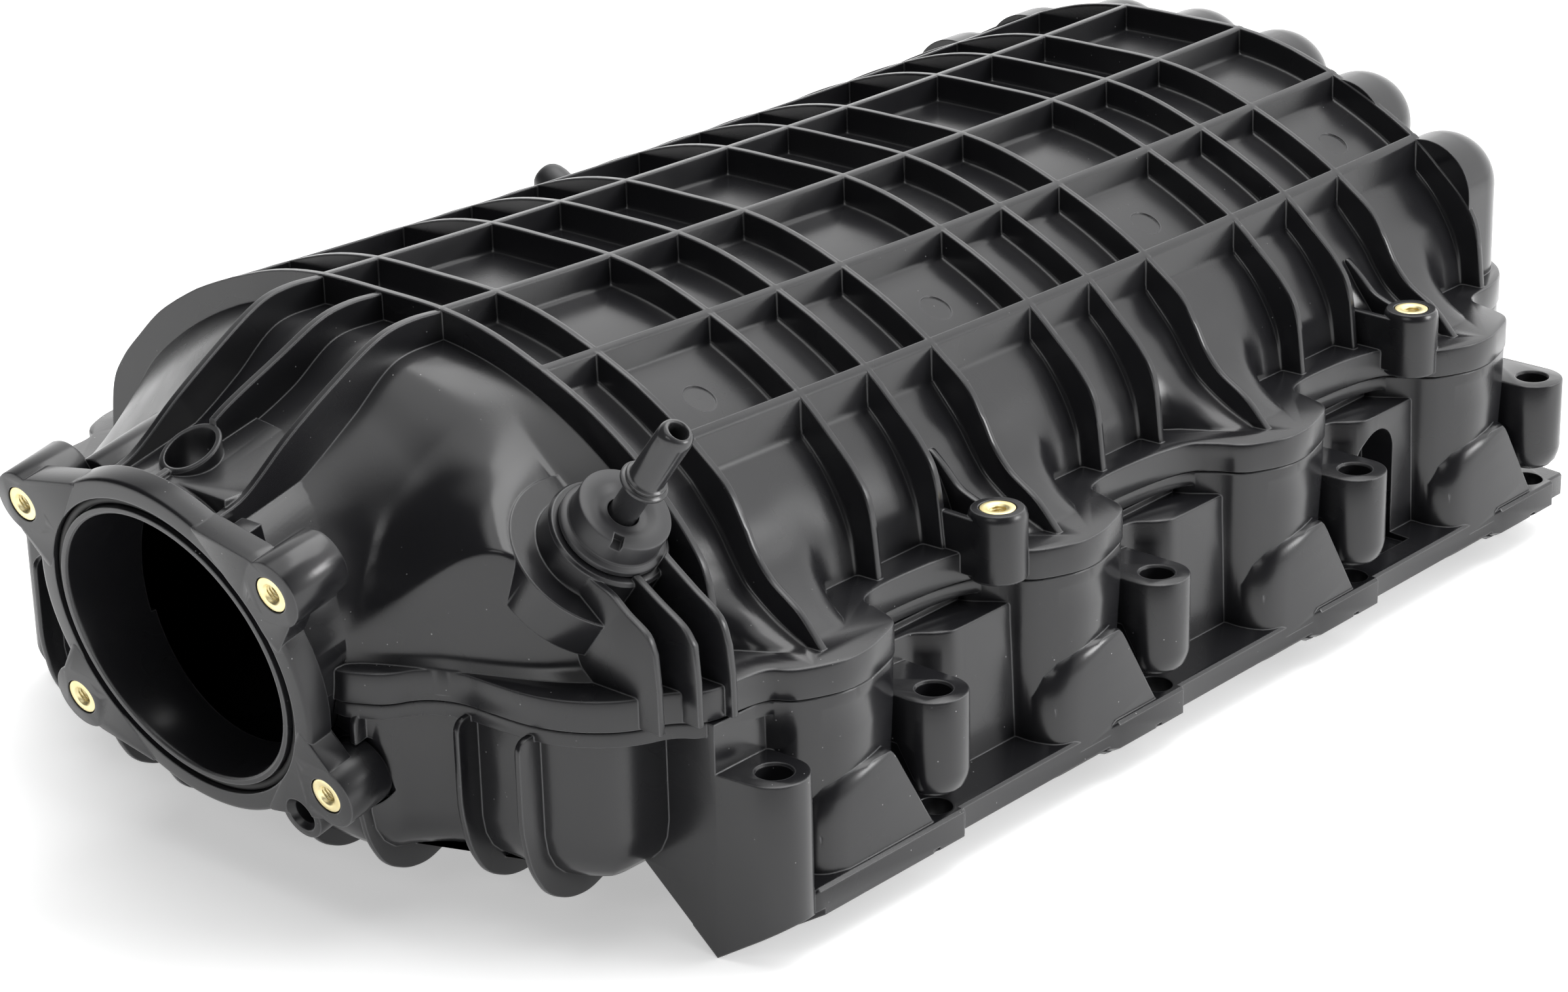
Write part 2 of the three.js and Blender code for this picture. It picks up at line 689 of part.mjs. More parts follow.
function roundedBox(x0, x1, y0, y1, r, Kind) {
  const path = new Kind();
  path.moveTo(x0 + r, y0);
  path.absarc(x1 - r, y0 + r, r, -Math.PI / 2, 0, false);
  path.absarc(x1 - r, y1 - r, r, 0, Math.PI / 2, false);
  path.absarc(x0 + r, y1 - r, r, Math.PI / 2, Math.PI, false);
  path.absarc(x0 + r, y0 + r, r, Math.PI, 1.5 * Math.PI, false);
  return path;
}

// Loop round a port in its face. gap is left at each side of the groove.
function sealBody(side, k, gap, depth, proud) {
  const frame = faceFrame(side, lobeMiddle(k));
  const alongSign = new THREE.Vector3().setFromMatrixColumn(frame, 1).y;
  const [y0, y1] = [alongSign * PORT.front, alongSign * PORT.rear].sort((a, b) => a - b);
  const s0 = (PORT.inX - PORT_INNER_X) / Math.cos(PORT_ANGLE);
  const s1 = (PORT.outX - PORT_INNER_X) / Math.cos(PORT_ANGLE);
  const near = SEAL.inner + gap;
  const far = SEAL.inner + SEAL.width - gap;
  const shape = roundedBox(s0 - far, s1 + far, y0 - far, y1 + far, far + 1, THREE.Shape);
  shape.holes.push(roundedBox(s0 - near, s1 + near, y0 - near, y1 + near, near + 1, THREE.Path));
  const geometry = new THREE.ExtrudeGeometry(shape, {
    depth: depth + proud,
    bevelEnabled: false,
    curveSegments: 2,
  });
  geometry.translate(0, 0, -depth);
  geometry.applyMatrix4(frame);
  return solidOf(geometry);
}

function sleeve(side, y, i) {
  const foot = i === 0 ? portFaceZ(BOLT.x + SLEEVE.outer) + 0.5 : BOLT.bottom + 1;
  return ringRod(SLEEVE.inner, SLEEVE.outer, foot, foot + SLEEVE.height, at(side * BOLT.x, y, 0), 12);
}

// ---- Inner runner shell ----

const ARCH_OUTER = [
  [0, 119], [40, 117], [70, 108], [88, 96], [99, 84], [117.4, 80], [117.4, WELD_Z + GAP],
];
const ARCH_INNER = [[100, WELD_Z + GAP], [94, 83], [85, 94], [68, 105.2], [39, 114], [0, 116]];

function innerRunnerShell() {
  const half = [...ARCH_OUTER, ...ARCH_INNER];
  const front = FRONT_RIB_Y + 8;
  const rear = REAR_Y - 8;
  const arch = join([1, -1].map((side) => prismY(mirrored(half, side), front, rear)));
  const below = [[0, 60], [100, 60], ...ARCH_INNER];
  const under = [1, -1].map((side) => prismY(mirrored(below, side), -60, 440));
  const walls = [];
  const mouths = [];
  walls.push(box(-1.2, 1.2, front, rear, 110, 200));
  for (let k = 0; k < CYLINDERS; k += 1) {
    const y = lobeMiddle(k);
    if (k > 0) walls.push(box(-117, 117, y - PITCH / 2 - 1.2, y - PITCH / 2 + 1.2, 76.5, 200));
    for (const x of [-24, 24]) mouths.push(box(x - 17, x + 17, y - 20, y + 25, 90, 125));
  }
  const room = roof(SKIN_HALF, [], FRONT_RIB_Y + 6, REAR_Y - 6, WALL + GAP + 0.4);
  const plates = cut(join(walls).intersect(room), under);
  return cut(join([arch, plates]), mouths);
}

// ---- Vacuum port ----

function vacuumCap() {
  const { r, lip, t, rise } = CAP;
  const hole = NIPPLE.r + GAP;
  const body = turned([
    [hole, -t - 4], [9.6, -t - 4], [9.6, -t], [lip, -t], [lip, -t + 2], [r, -t + 3.2], [r, rise],
    [9.5, rise], [7, rise - 1.2], [hole, rise - 1.2], [hole, -t - 4],
  ], vacuumFrame, 18);
  const notches = [1, -1].map((side) => {
    return box(side > 0 ? r - 4.5 : -r - 3, side > 0 ? r + 3 : -r + 4.5, -1.6, 1.6, rise - 2, rise + 1);
  });
  const turn = vacuumFrame.clone().multiply(new THREE.Matrix4().makeRotationZ(-0.9));
  return cut(body, notches.map((notch) => notch.transform(turn.elements)));
}

function vacuumNipple() {
  const { r, collar, bore, length } = NIPPLE;
  return turned([
    [bore, -8], [r - 0.3, -8], [r - 0.3, 15.7], [collar, 16.7], [collar, 18.3], [r + 0.8, 19.1],
    [r + 0.8, length - 3], [r - 0.4, length],
    [bore, length], [bore, -8],
  ], vacuumFrame, 14);
}

function sideTube() {
  const { r, bore, collar, length } = SIDE_TUBE;
  return turned([
    [bore, -8], [r, -8], [r, GAP], [collar, GAP], [collar, GAP + 2.5], [r, GAP + 2.5],
    [r, length - 1.5], [r - 1.2, length], [bore, length], [bore, -8],
  ], sideFrame, 16);
}

// ---- Materials and assembly ----

const plastic = () => new THREE.MeshStandardMaterial({ color: 0x1b1b1d, roughness: 0.5, metalness: 0 });
const brass = () => new THREE.MeshStandardMaterial({ color: 0xd8c27a, roughness: 0.3, metalness: 1 });
const rubber = () => new THREE.MeshStandardMaterial({ color: 0x0d0d0e, roughness: 0.85, metalness: 0 });
const steel = () => new THREE.MeshStandardMaterial({ color: 0x9a9c9e, roughness: 0.35, metalness: 1 });
const gloss = () => new THREE.MeshStandardMaterial({ color: 0x0c0c0d, roughness: 0.12, metalness: 0.2 });

const manifold = new THREE.Group();

function place(name, solid, material) {
  const mesh = new THREE.Mesh(geometryOf(solid), material);
  mesh.name = name;
  manifold.add(mesh);
}

place("upper_shell", upperShell(), plastic());
place("lower_shell", lowerShell(), plastic());
place("inner_runner_shell", innerRunnerShell(), plastic());
place("vacuum_port_cap", vacuumCap(), plastic());
place("vacuum_port_nipple", vacuumNipple(), gloss());
place("side_port_tube", sideTube(), plastic());
throttleBolts.forEach(([u, v], i) => {
  place(`throttle_insert_${i + 1}`, insertSolid(onThrottle(u, v)), brass());
});
coverPlaces.forEach(([x, y], i) => {
  place(`cover_insert_${i + 1}`, insertSolid(at(x, y, COVER_BOSS.top)), brass());
});
place(
  "throttle_seal",
  ringRod(SEAL_GROOVE.inner + GAP, SEAL_GROOVE.outer - GAP, GAP - SEAL_GROOVE.depth, -0.6, throttleFrame, 28),
  rubber(),
);
[["right", 1], ["left", -1]].forEach(([name, side]) => {
  for (let k = 0; k < CYLINDERS; k += 1) {
    place(`port_seal_${name}_${k + 1}`, sealBody(side, k, GAP, SEAL.depth, SEAL.proud), rubber());
  }
  BOLT_Y.forEach((y, i) => place(`bolt_sleeve_${name}_${i + 1}`, sleeve(side, y, i), steel()));
});

const bounds = new THREE.Box3().setFromObject(manifold);
manifold.position.set(0, -(bounds.min.y + bounds.max.y) / 2, -bounds.min.z);

export default manifold;
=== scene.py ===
"""Intake manifold: moulded shells, inserts, seals and vacuum port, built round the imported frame.

Shapes are worked out in millimetres with X across the engine, +Y to the rear and +Z up, in the frame
where y = 0 is the first cylinder's rib. put() moves them into the frame's own place, in metres.
"""

import json
import math

import bpy
import numpy as np
from mathutils import Matrix, Vector


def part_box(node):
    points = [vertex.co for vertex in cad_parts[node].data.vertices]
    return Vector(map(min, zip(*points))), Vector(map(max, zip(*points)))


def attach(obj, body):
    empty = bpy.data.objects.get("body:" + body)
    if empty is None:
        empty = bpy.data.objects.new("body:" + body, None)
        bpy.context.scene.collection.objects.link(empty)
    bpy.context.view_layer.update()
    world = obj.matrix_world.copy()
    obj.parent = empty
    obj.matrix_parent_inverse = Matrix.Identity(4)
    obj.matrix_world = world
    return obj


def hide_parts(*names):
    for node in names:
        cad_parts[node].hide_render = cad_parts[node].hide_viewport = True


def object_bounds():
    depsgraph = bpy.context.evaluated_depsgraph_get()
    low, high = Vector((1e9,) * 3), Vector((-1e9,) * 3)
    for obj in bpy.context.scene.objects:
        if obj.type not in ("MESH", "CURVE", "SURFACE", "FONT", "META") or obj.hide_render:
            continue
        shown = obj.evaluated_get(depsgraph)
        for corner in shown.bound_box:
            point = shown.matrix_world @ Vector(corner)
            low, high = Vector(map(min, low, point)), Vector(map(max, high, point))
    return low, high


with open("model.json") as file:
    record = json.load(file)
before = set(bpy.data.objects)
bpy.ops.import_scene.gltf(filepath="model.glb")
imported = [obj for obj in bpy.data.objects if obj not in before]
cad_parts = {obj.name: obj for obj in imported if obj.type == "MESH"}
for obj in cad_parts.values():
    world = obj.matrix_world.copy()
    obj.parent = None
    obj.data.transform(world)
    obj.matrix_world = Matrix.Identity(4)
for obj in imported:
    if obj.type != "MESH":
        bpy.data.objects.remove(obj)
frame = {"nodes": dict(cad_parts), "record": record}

CAD_BOX = [list(corner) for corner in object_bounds()]

# ---- Driving dimensions, in millimetres ----

PITCH = 111.76
CYLINDERS = 4
WALL = 3.2
WIDE_CELL = 49.65
NARROW_CELL = (PITCH - WIDE_CELL) / 2
FRONT_RIB_Y = -22.9
REAR_Y = 3 * PITCH + WIDE_CELL
LONG_RIBS = (25.9, 67.3, 103.6)
STEEP_X = 106.6  # beyond this the roof is followed by length, not by X

WELD_Z = 76.0
FLANGE_TOP = 86.0
LOBE_Y = 5.0
VALLEY_X = 136.0
REAR_WALL_Y = 414.0
CROWN_SAG = 0.727
CROWN_LOW_Y = 282.4

THROTTLE_CENTRE = (0.0, -114.9, 84.1)
THROTTLE_TILT = math.radians(12.3)
BORE_R = 45.0
NECK_R = 52.0
FLANGE_R = 57.0
THROTTLE_BOLT = (55.05, 35.25)
LOBE_BOSS_R = 10.8

EAR_PLACE = (40.0, -47.5)  # small drilled ear on the throttle flange
NECK_CLEAR = 0.4
WELD_CLEAR = 0.4

PORT_ANGLE = math.radians(32.6)
PORT_INNER_X = 147.5
RAIL_X = 166.0
RAIL_TOP = 20.5
LEG_X = 149.0  # outer wall of the side webs
INNER_X = 128.0  # how far in the bosses and shelves reach
LEG_FRONT_Y = -42.0
LEG_REAR_Y = 391.0
BOWL_BOTTOM = 22.9
BOWL_X = 119.4
PORT_IN_X, PORT_OUT_X, PORT_FRONT, PORT_REAR = 152.0, 162.5, -17.0, 27.0

BOLT_X, BOLT_R, BOLT_HOLE, BOLT_TOP, BOLT_FOOT = 160.7, 10.8, 5.5, 60.0, 27.0
BOLT_Y = [-29.7] + [42.45 + k * PITCH for k in range(CYLINDERS)]
COVER_X, COVER_R, COVER_TOP = 147.8, 9.4, 100.0
COVER_Y = (89.6, 317.5)
INSERT_R, INSERT_BORE, INSERT_LENGTH, THREAD_PITCH = 5.7, 2.6, 12.0, 1.0
SEAL_NEAR, SEAL_FAR = 1.4, 3.4  # a port seal's loops, measured from the port's edge

VACUUM = (115.0, -42.0, 131.0)
VACUUM_TILT = math.radians(37)
SIDE_PORT = (-124.0, 187.0, 117.8)
SIDE_TILT = math.radians(-62)
SIDE_R, SIDE_BORE, SIDE_COLLAR, SIDE_BOSS = 6.8, 4.4, 9.3, 11.5
LAND_R, LAND_DEPTH, SWELL_R = 27.5, 16.0, 58.0  # flat seat round the port, and where its swelling ends
SWELL_Z, SWELL_FADE = 101.0, 12.0  # the swelling dies away this far below this height

CAMERA_PLACE = (0.8718, -0.96108, 0.5771)  # in the frame's metres
CAMERA_AZIMUTH, CAMERA_ELEVATION = math.radians(41.876), math.radians(22.17)
CAMERA_ROLL = -0.0262
CAMERA_LENS, CAMERA_SENSOR = 94.1, 36.0

# The first cover insert tells where this drawing's y = 0 lies in the frame.
LOW, HIGH = (Vector(corner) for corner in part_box("cover_insert_1"))
SHIFT_Y = COVER_Y[0] - 500.0 * (LOW.y + HIGH.y)

# ---- Sections, half outlines [x, z] from the middle outward ----

SKIN = [
    (0, 154.4), (26, 154), (47, 151), (66.5, 145), (84, 137.3), (99, 128.4), (110.5, 119.5),
    (118.5, 109.5), (124, 98.5), (126.5, 86),
]
RIB_TOP = [
    (0, 163.8), (26, 163.4), (47, 160.2), (67.3, 153.6), (86, 145.7), (103.6, 136.1),
    (115.8, 126.2), (125.5, 117), (131.5, 107), (134.5, 86),
]
FOOT_SKIN = [(116, 113), (122, 104.5), (128, 97.5), (138, 91), (149, 86)]
FOOT_RIB = [(118.5, 125.4), (125, 116), (129.5, 108), (135.6, 101.5), (146, 95), (155, 86)]
FRONT = {
    -44: [
        (0, 161), (26, 159.6), (46, 153), (63, 143.5), (78, 132.5), (92, 120.5), (104, 109.5),
        (115, 99), (123, 91.5), (128, 86),
    ],
    -62: [
        (0, 151), (20, 150), (37, 144.5), (51, 136), (64, 125), (76, 114), (88, 104), (99, 96),
        (107, 90.5), (113, 86),
    ],
    -78: [
        (0, 144.5), (16, 143), (30, 138), (42, 129), (51, 118), (58, 108), (65, 99), (71, 93),
        (76, 89), (80, 86),
    ],
    -92: [
        (0, 140.5), (14, 138.5), (27, 133), (38, 124.5), (45.5, 115), (50, 105), (52, 96),
        (52.5, 91), (53, 88), (53.5, 86),
    ],
    -106: [
        (0, 134.5), (15, 132.3), (28.5, 126), (39, 117), (46.5, 107), (50.5, 98), (51.5, 93),
        (52, 90), (52, 88), (52, 86),
    ],
}
LOBE = [
    (-33, 139), (-25, 149.5), (-22, 156.5), (-15.5, 160.6), (-6, 164.5), (4, 164.5), (13, 162),
    (24.5, 158.2), (28, 148), (31, 136),
]
FRONT_OUTLINE = [
    (52.5, -98.7), (57, -97), (66.6, -91.7), (71, -82.4), (81.4, -77), (94, -76.8), (108.3, -76),
    (119.8, -72.5), (130.2, -65.3), (136.2, -57.3), (139.5, -48.5), (148.2, -43.5),
]
REAR_OUTLINE = [(VALLEY_X, 392), (128, 408), (112, 418)]

# Distance from a rib's middle, and the share of its height there: round top, draft, base fillet.
RIB_PROFILE = [
    (0.0, 1.0), (1.0, 0.992), (1.3, 0.965), (1.45, 0.91), (1.75, 0.15), (2.05, 0.07),
    (2.6, 0.02), (3.3, 0.0),
]

# ---- Curves ----


def spline(points, per=8):
    """Smooth curve through the points."""
    p = np.asarray(points, float)
    q = np.vstack([2 * p[0] - p[1], p, 2 * p[-1] - p[-2]])
    t = np.linspace(0, 1, per, endpoint=False)[:, None]
    parts = []
    for a, b, c, d in zip(q, q[1:], q[2:], q[3:]):
        cubic = 3 * b - a - 3 * c + d
        square = 2 * a - 5 * b + 4 * c - d
        parts.append(0.5 * (2 * b + (c - a) * t + square * t**2 + cubic * t**3))
    return np.vstack(parts + [p[-1:]])


def half_curve(points):
    """Smooth half section that leaves the middle plane square to it."""
    mirror = [(-x, z) for x, z in reversed(points[1:])]
    curve = spline(mirror + list(points))
    return curve[len(curve) // 2:]


def by_length(curve, shares):
    """Points at these shares of the curve's length."""
    steps = np.r_[0, np.cumsum(np.linalg.norm(np.diff(curve, axis=0), axis=1))]
    at = np.asarray(shares) * steps[-1]
    return np.stack([np.interp(at, steps, curve[:, i]) for i in range(curve.shape[1])], axis=1)


def rounded(outline, times=3):
    """Closed outline with its corners cut round."""
    p = np.asarray(outline, float)
    for _ in range(times):
        after = np.roll(p, -1, axis=0)
        p = np.stack([0.75 * p + 0.25 * after, 0.25 * p + 0.75 * after], axis=1).reshape(-1, 2)
    return p


def filleted(outline, radius, steps=6):
    """Closed outline with each corner replaced by an arc-like curve of about this radius."""
    p = np.asarray(outline, float)
    result = []
    for before, here, after in zip(np.roll(p, 1, axis=0), p, np.roll(p, -1, axis=0)):
        a, b = before - here, after - here
        reach = min(radius, 0.45 * np.linalg.norm(a), 0.45 * np.linalg.norm(b))
        start, end = here + reach * a / np.linalg.norm(a), here + reach * b / np.linalg.norm(b)
        for t in np.linspace(0, 1, steps):
            result.append((1 - t) ** 2 * start + 2 * t * (1 - t) * here + t**2 * end)
    return np.array(result)


def area(outline):
    x, y = np.asarray(outline, float).T
    return 0.5 * np.sum(x * np.roll(y, -1) - np.roll(x, -1) * y)


def shrink(outline, distance):
    """Outline moved inward by distance."""
    p = np.asarray(outline, float)
    if area(p) < 0:
        p = p[::-1]
    ahead = np.roll(p, -1, axis=0) - p
    ahead /= np.maximum(np.linalg.norm(ahead, axis=1, keepdims=True), 1e-9)
    behind = np.roll(ahead, 1, axis=0)
    inward = np.stack([-ahead[:, 1] - behind[:, 1], ahead[:, 0] + behind[:, 0]], axis=1)
    turn = np.maximum(1 + np.sum(ahead * behind, axis=1, keepdims=True), 0.5)
    return p + distance * inward / turn


def bump(distance, inner, outer):
    """1 within inner, 0 beyond outer, smooth between."""
    t = np.clip((outer - np.abs(distance)) / (outer - inner), 0, 1)
    return t * t * (3 - 2 * t)


# ---- Solids ----


def put(points):
    """Drawing millimetres to the frame's metres."""
    p = np.array(points, float).reshape(-1, 3)
    p[:, 1] -= SHIFT_Y
    return p / 1000


def add_object(name, data):
    new = bpy.data.objects.new(name, data)
    bpy.context.scene.collection.objects.link(new)
    return new


def make(name, points, faces):
    mesh = bpy.data.meshes.new(name)
    mesh.from_pydata(put(points).tolist(), [], faces)
    return add_object(name, mesh)


def volume(points, faces):
    total = 0.0
    for face in faces:
        a = points[face[0]]
        for i, j in zip(face[1:], face[2:]):
            total += np.dot(a, np.cross(points[i], points[j]))
    return total


def loft(name, rings, ring_shaped=False, matrix=None):
    """Closed body through rings of equally many points, capped, or joined into a loop."""
    rings = np.asarray(rings, float)
    count, around = rings.shape[:2]
    points = rings.reshape(-1, 3)
    if matrix is not None:
        points = points @ matrix[:3, :3].T + matrix[:3, 3]
    faces = []
    for i in range(count if ring_shaped else count - 1):
        for j in range(around):
            a, b = i * around + j, i * around + (j + 1) % around
            c, d = (a + around) % len(points), (b + around) % len(points)
            faces.append((a, b, d, c))
    if not ring_shaped:
        faces.append(tuple(reversed(range(around))))
        faces.append(tuple(range(len(points) - around, len(points))))
    if volume(points - points.mean(axis=0), faces) < 0:
        faces = [tuple(reversed(face)) for face in faces]
    return make(name, points, faces)


AXES = {"x": (1, 2, 0), "y": (0, 2, 1), "z": (0, 1, 2)}


def on_axis(outline, level, axis):
    """Flat outline placed square to an axis at this level."""
    ring = np.zeros((len(outline), 3))
    first, second, third = AXES[axis]
    ring[:, first], ring[:, second] = np.asarray(outline, float).T
    ring[:, third] = level
    return ring


def prism(name, outline, low, high, axis="z", edge=0.0, edge_low=None, matrix=None):
    """Outline raised along an axis, with rounded edges at its two ends."""
    edge_low = edge if edge_low is None else edge_low
    base = shrink(outline, 0)
    levels = []
    if edge_low:
        levels += [(low, edge_low), (low + 0.3 * edge_low, 0.3 * edge_low)]
    levels += [(low + edge_low, 0), (high - edge, 0)]
    if edge:
        levels += [(high - 0.3 * edge, 0.3 * edge), (high, edge)]
    rings = [on_axis(shrink(base, inset), level, axis) for level, inset in levels]
    return loft(name, rings, matrix=matrix)


def full_turn(segments):
    return np.linspace(0, 2 * math.pi, segments, endpoint=False)


def circle(r, height, turn):
    """Ring of points at one height; r may change round the turn."""
    return np.column_stack([r * np.cos(turn), r * np.sin(turn), np.full(len(turn), height)])


def lathe(name, profile, matrix=None, segments=64, ring_shaped=False):
    """Profile [radius, height] turned round Z."""
    turn = full_turn(segments)
    rings = [circle(r, height, turn) for r, height in profile]
    return loft(name, rings, ring_shaped=ring_shaped, matrix=matrix)


def rod(name, r, low, high, matrix=None, edge=0.0, edge_low=0.0, segments=64):
    profile = [(r, low)]
    if edge_low:
        profile = [(r - edge_low, low), (r - 0.3 * edge_low, low + 0.3 * edge_low), (r, low + edge_low)]
    if edge:
        profile += [(r, high - edge), (r - 0.3 * edge, high - 0.3 * edge), (r - edge, high)]
    else:
        profile += [(r, high)]
    return lathe(name, profile, matrix, segments)


def block(name, x0, x1, y0, y1, z0, z1, edge=0.0):
    x0, x1 = sorted((x0, x1))
    return prism(name, [(x0, y0), (x1, y0), (x1, y1), (x0, y1)], z0, z1, edge=edge, edge_low=0.0)


def combine(body, solids, operation):
    """Joins solids to the body, or cuts them from it."""
    for solid in solids:
        modifier = body.modifiers.new("combine", "BOOLEAN")
        modifier.operation = operation
        modifier.solver = "MANIFOLD"
        modifier.object = solid
    evaluated = body.evaluated_get(bpy.context.evaluated_depsgraph_get())
    mesh = bpy.data.meshes.new_from_object(evaluated)
    body.modifiers.clear()
    body.data = mesh
    for solid in solids:
        bpy.data.objects.remove(solid)
    return body


def at(x, y, z):
    matrix = np.eye(4)
    matrix[:3, 3] = (x, y, z)
    return matrix


def basis(u, v, w, origin):
    matrix = np.eye(4)
    matrix[:3, 0], matrix[:3, 1], matrix[:3, 2], matrix[:3, 3] = u, v, w, origin
    return matrix


TILT_SIN, TILT_COS = math.sin(THROTTLE_TILT), math.cos(THROTTLE_TILT)
THROTTLE = basis((1, 0, 0), (0, -TILT_SIN, TILT_COS), (0, -TILT_COS, -TILT_SIN), THROTTLE_CENTRE)
PORT_SIN, PORT_COS = math.sin(VACUUM_TILT), math.cos(VACUUM_TILT)
VACUUM_FRAME = basis((PORT_COS, 0, -PORT_SIN), (0, 1, 0), (PORT_SIN, 0, PORT_COS), VACUUM)
SIDE_SIN, SIDE_COS = math.sin(SIDE_TILT), math.cos(SIDE_TILT)
SIDE_FRAME = basis((SIDE_COS, 0, -SIDE_SIN), (0, 1, 0), (SIDE_SIN, 0, SIDE_COS), SIDE_PORT)


def on_throttle(u, v):
    return THROTTLE @ at(u, v, 0)


def lobe_middle(k):
    return LOBE_Y + k * PITCH


def mirrored(outline, side):
    return [(side * x, z) for x, z in outline]


# ---- Roof: skin and ribs as one grid whose lines follow every rib ----


def sag(y):
    return CROWN_SAG * ((y - CROWN_LOW_Y) / 100) ** 2


def raised(section, y):
    share = np.clip((section[:, 1] - FLANGE_TOP) / 60, 0, 1)
    return np.stack([section[:, 0], section[:, 1] + share * sag(y)], axis=1)


def rib_ys():
    ys = [FRONT_RIB_Y]
    for k in range(CYLINDERS):
        ys += [k * PITCH, k * PITCH + WIDE_CELL, k * PITCH + WIDE_CELL + NARROW_CELL]
    return ys[:-1]


def rib_lines(places, low, high, spacing):
    """Grid lines: every step of every rib's profile, and even lines between the ribs."""
    offsets = [d for d, _ in RIB_PROFILE]
    lines = {round(low, 3), round(high, 3)}
    for place in places:
        for d in offsets:
            lines.update((round(place - d, 3), round(place + d, 3)))
    lines = sorted(v for v in lines if low <= v <= high)
    filled = []
    for a, b in zip(lines, lines[1:]):
        steps = max(1, round((b - a) / spacing))
        filled += [a + (b - a) * i / steps for i in range(steps)]
    return np.array(filled + [lines[-1]])


def rib_share(distance):
    offsets, shares = zip(*RIB_PROFILE)
    return np.interp(np.abs(distance), offsets, shares)


STEEP_SHARES = np.linspace(0, 1, 30)[1:]


def steep_part(curve, foot=None):
    """The stretch of a section from STEEP_X to the weld flange."""
    start = (STEEP_X, np.interp(STEEP_X, curve[:, 0], curve[:, 1]))
    if foot:
        stretch = spline([start] + foot)
    else:
        stretch = np.vstack([start, curve[curve[:, 0] > STEEP_X + 0.5]])
    return by_length(stretch, STEEP_SHARES)


def foot_weight(y, narrower=0):
    nearest = np.argmin([abs(y - lobe_middle(k)) for k in range(CYLINDERS)])
    return bump(y - lobe_middle(nearest), 10 - narrower, 29 - narrower)


def roof_sections(columns, narrower=0):
    """Skin and rib-top sections as functions of y, with the same columns."""
    parts = {}
    for name, points, foot in (("skin", SKIN, FOOT_SKIN), ("rib", RIB_TOP, FOOT_RIB)):
        curve = half_curve(points)
        flat = np.stack([columns, np.interp(columns, curve[:, 0], curve[:, 1])], axis=1)
        parts[name] = flat, steep_part(curve), steep_part(curve, foot)

    def section(name, y):
        flat, plain, foot = parts[name]
        return np.vstack([flat, plain + foot_weight(y, narrower) * (foot - plain)])

    return section


def whole_ring(half, y, bottom):
    """Closed ring from a right-hand half section: crown, right side, bottom, left side."""
    edge = np.array([[half[-1, 0], bottom]])
    right = np.vstack([half, edge])
    left = right[:0:-1] * (-1, 1)
    flat = np.vstack([right, left])
    return on_axis(flat, y, "y")


def roof_body():
    columns = rib_lines(LONG_RIBS, 0, STEEP_X, 5)
    section = roof_sections(columns)
    ys = rib_lines(rib_ys(), FRONT_RIB_Y - 1.45, REAR_Y + 1.45, 4.5)
    rings = []
    for y in ys:
        skin, top = section("skin", y), section("rib", y)
        across = rib_share(min(np.abs(np.array(rib_ys()) - y)))
        along = np.zeros(len(skin))
        for place in LONG_RIBS:
            if place < 100 or y > -1.2:
                share = rib_share(columns - place)
                along[:len(columns)] = np.maximum(along[:len(columns)], share)
        height = np.maximum(along, across)[:, None]
        rings.append(whole_ring(raised(skin + height * (top - skin), y), y, WELD_Z + 2))
    return loft("roof", rings)


def inner_section(half, thickness):
    """Half section moved inward, for the hollow under it."""
    ahead = np.gradient(half, axis=0)
    ahead /= np.linalg.norm(ahead, axis=1, keepdims=True)
    moved = half + thickness * np.stack([ahead[:, 1], -ahead[:, 0]], axis=1)
    moved[0] = (0, half[0, 1] - thickness)
    return moved


def roof_hollow():
    columns = np.linspace(0, STEEP_X, 24)
    section = roof_sections(columns, 6)
    rings = []
    for y in np.linspace(FRONT_RIB_Y - 1, REAR_Y - WALL, 90):
        half = inner_section(raised(section("skin", y), y), WALL)
        rings.append(whole_ring(half, y, WELD_Z - 1))
    return loft("roof_hollow", rings)


# ---- Front: the funnel from the neck up to the first rib ----


def swell(half, y):
    """Raises the right-hand skin to a flat seat round the vacuum port."""
    out = np.array((PORT_SIN, PORT_COS))
    across = np.array((PORT_COS, -PORT_SIN))
    offset = half - (VACUUM[0], VACUUM[2])
    height, side = offset @ out, offset @ across
    radius = np.hypot(side, y - VACUUM[1])
    weight = bump(radius, LAND_R + 1, SWELL_R) * bump(min(0, FRONT_RIB_Y - 3 - y), 0, 8)
    weight *= bump(np.minimum(0, half[:, 1] - SWELL_Z), 0, SWELL_FADE)
    return half + (weight * np.maximum(-LAND_DEPTH - height, 0))[:, None] * out


def both_sides(right, left, y, bottom):
    """Closed ring from a right and a left half section, both given as right-hand ones."""
    down = np.array([[right[-1, 0], bottom], [-left[-1, 0], bottom]])
    return on_axis(np.vstack([right, down, left[:0:-1] * (-1, 1)]), y, "y")


def funnel(name, thickness, front, rear):
    """Body under the funnel's surface, or its hollow when thickness is given."""
    shares = np.linspace(0, 1, 110)
    skin = half_curve(SKIN)
    stations = {FRONT_RIB_Y: raised(skin, FRONT_RIB_Y)}
    stations.update({y: half_curve(points) for y, points in FRONT.items()})
    ys = sorted(stations)
    table = np.array([by_length(stations[y], shares) for y in ys])
    fine = spline(np.hstack([np.array(ys)[:, None], table.reshape(len(ys), -1)]), 16)
    rings = []
    for row in fine:
        y, half = row[0], row[1:].reshape(-1, 2)
        if not front <= y <= rear:
            continue
        if thickness:
            half = inner_section(half, thickness)
        half[0, 0] = 0
        right = half if thickness else swell(half, y)
        rings.append(both_sides(right, half, y, WELD_Z + (-1 if thickness else 2)))
    return loft(name, rings)


# ---- Weld flange ----


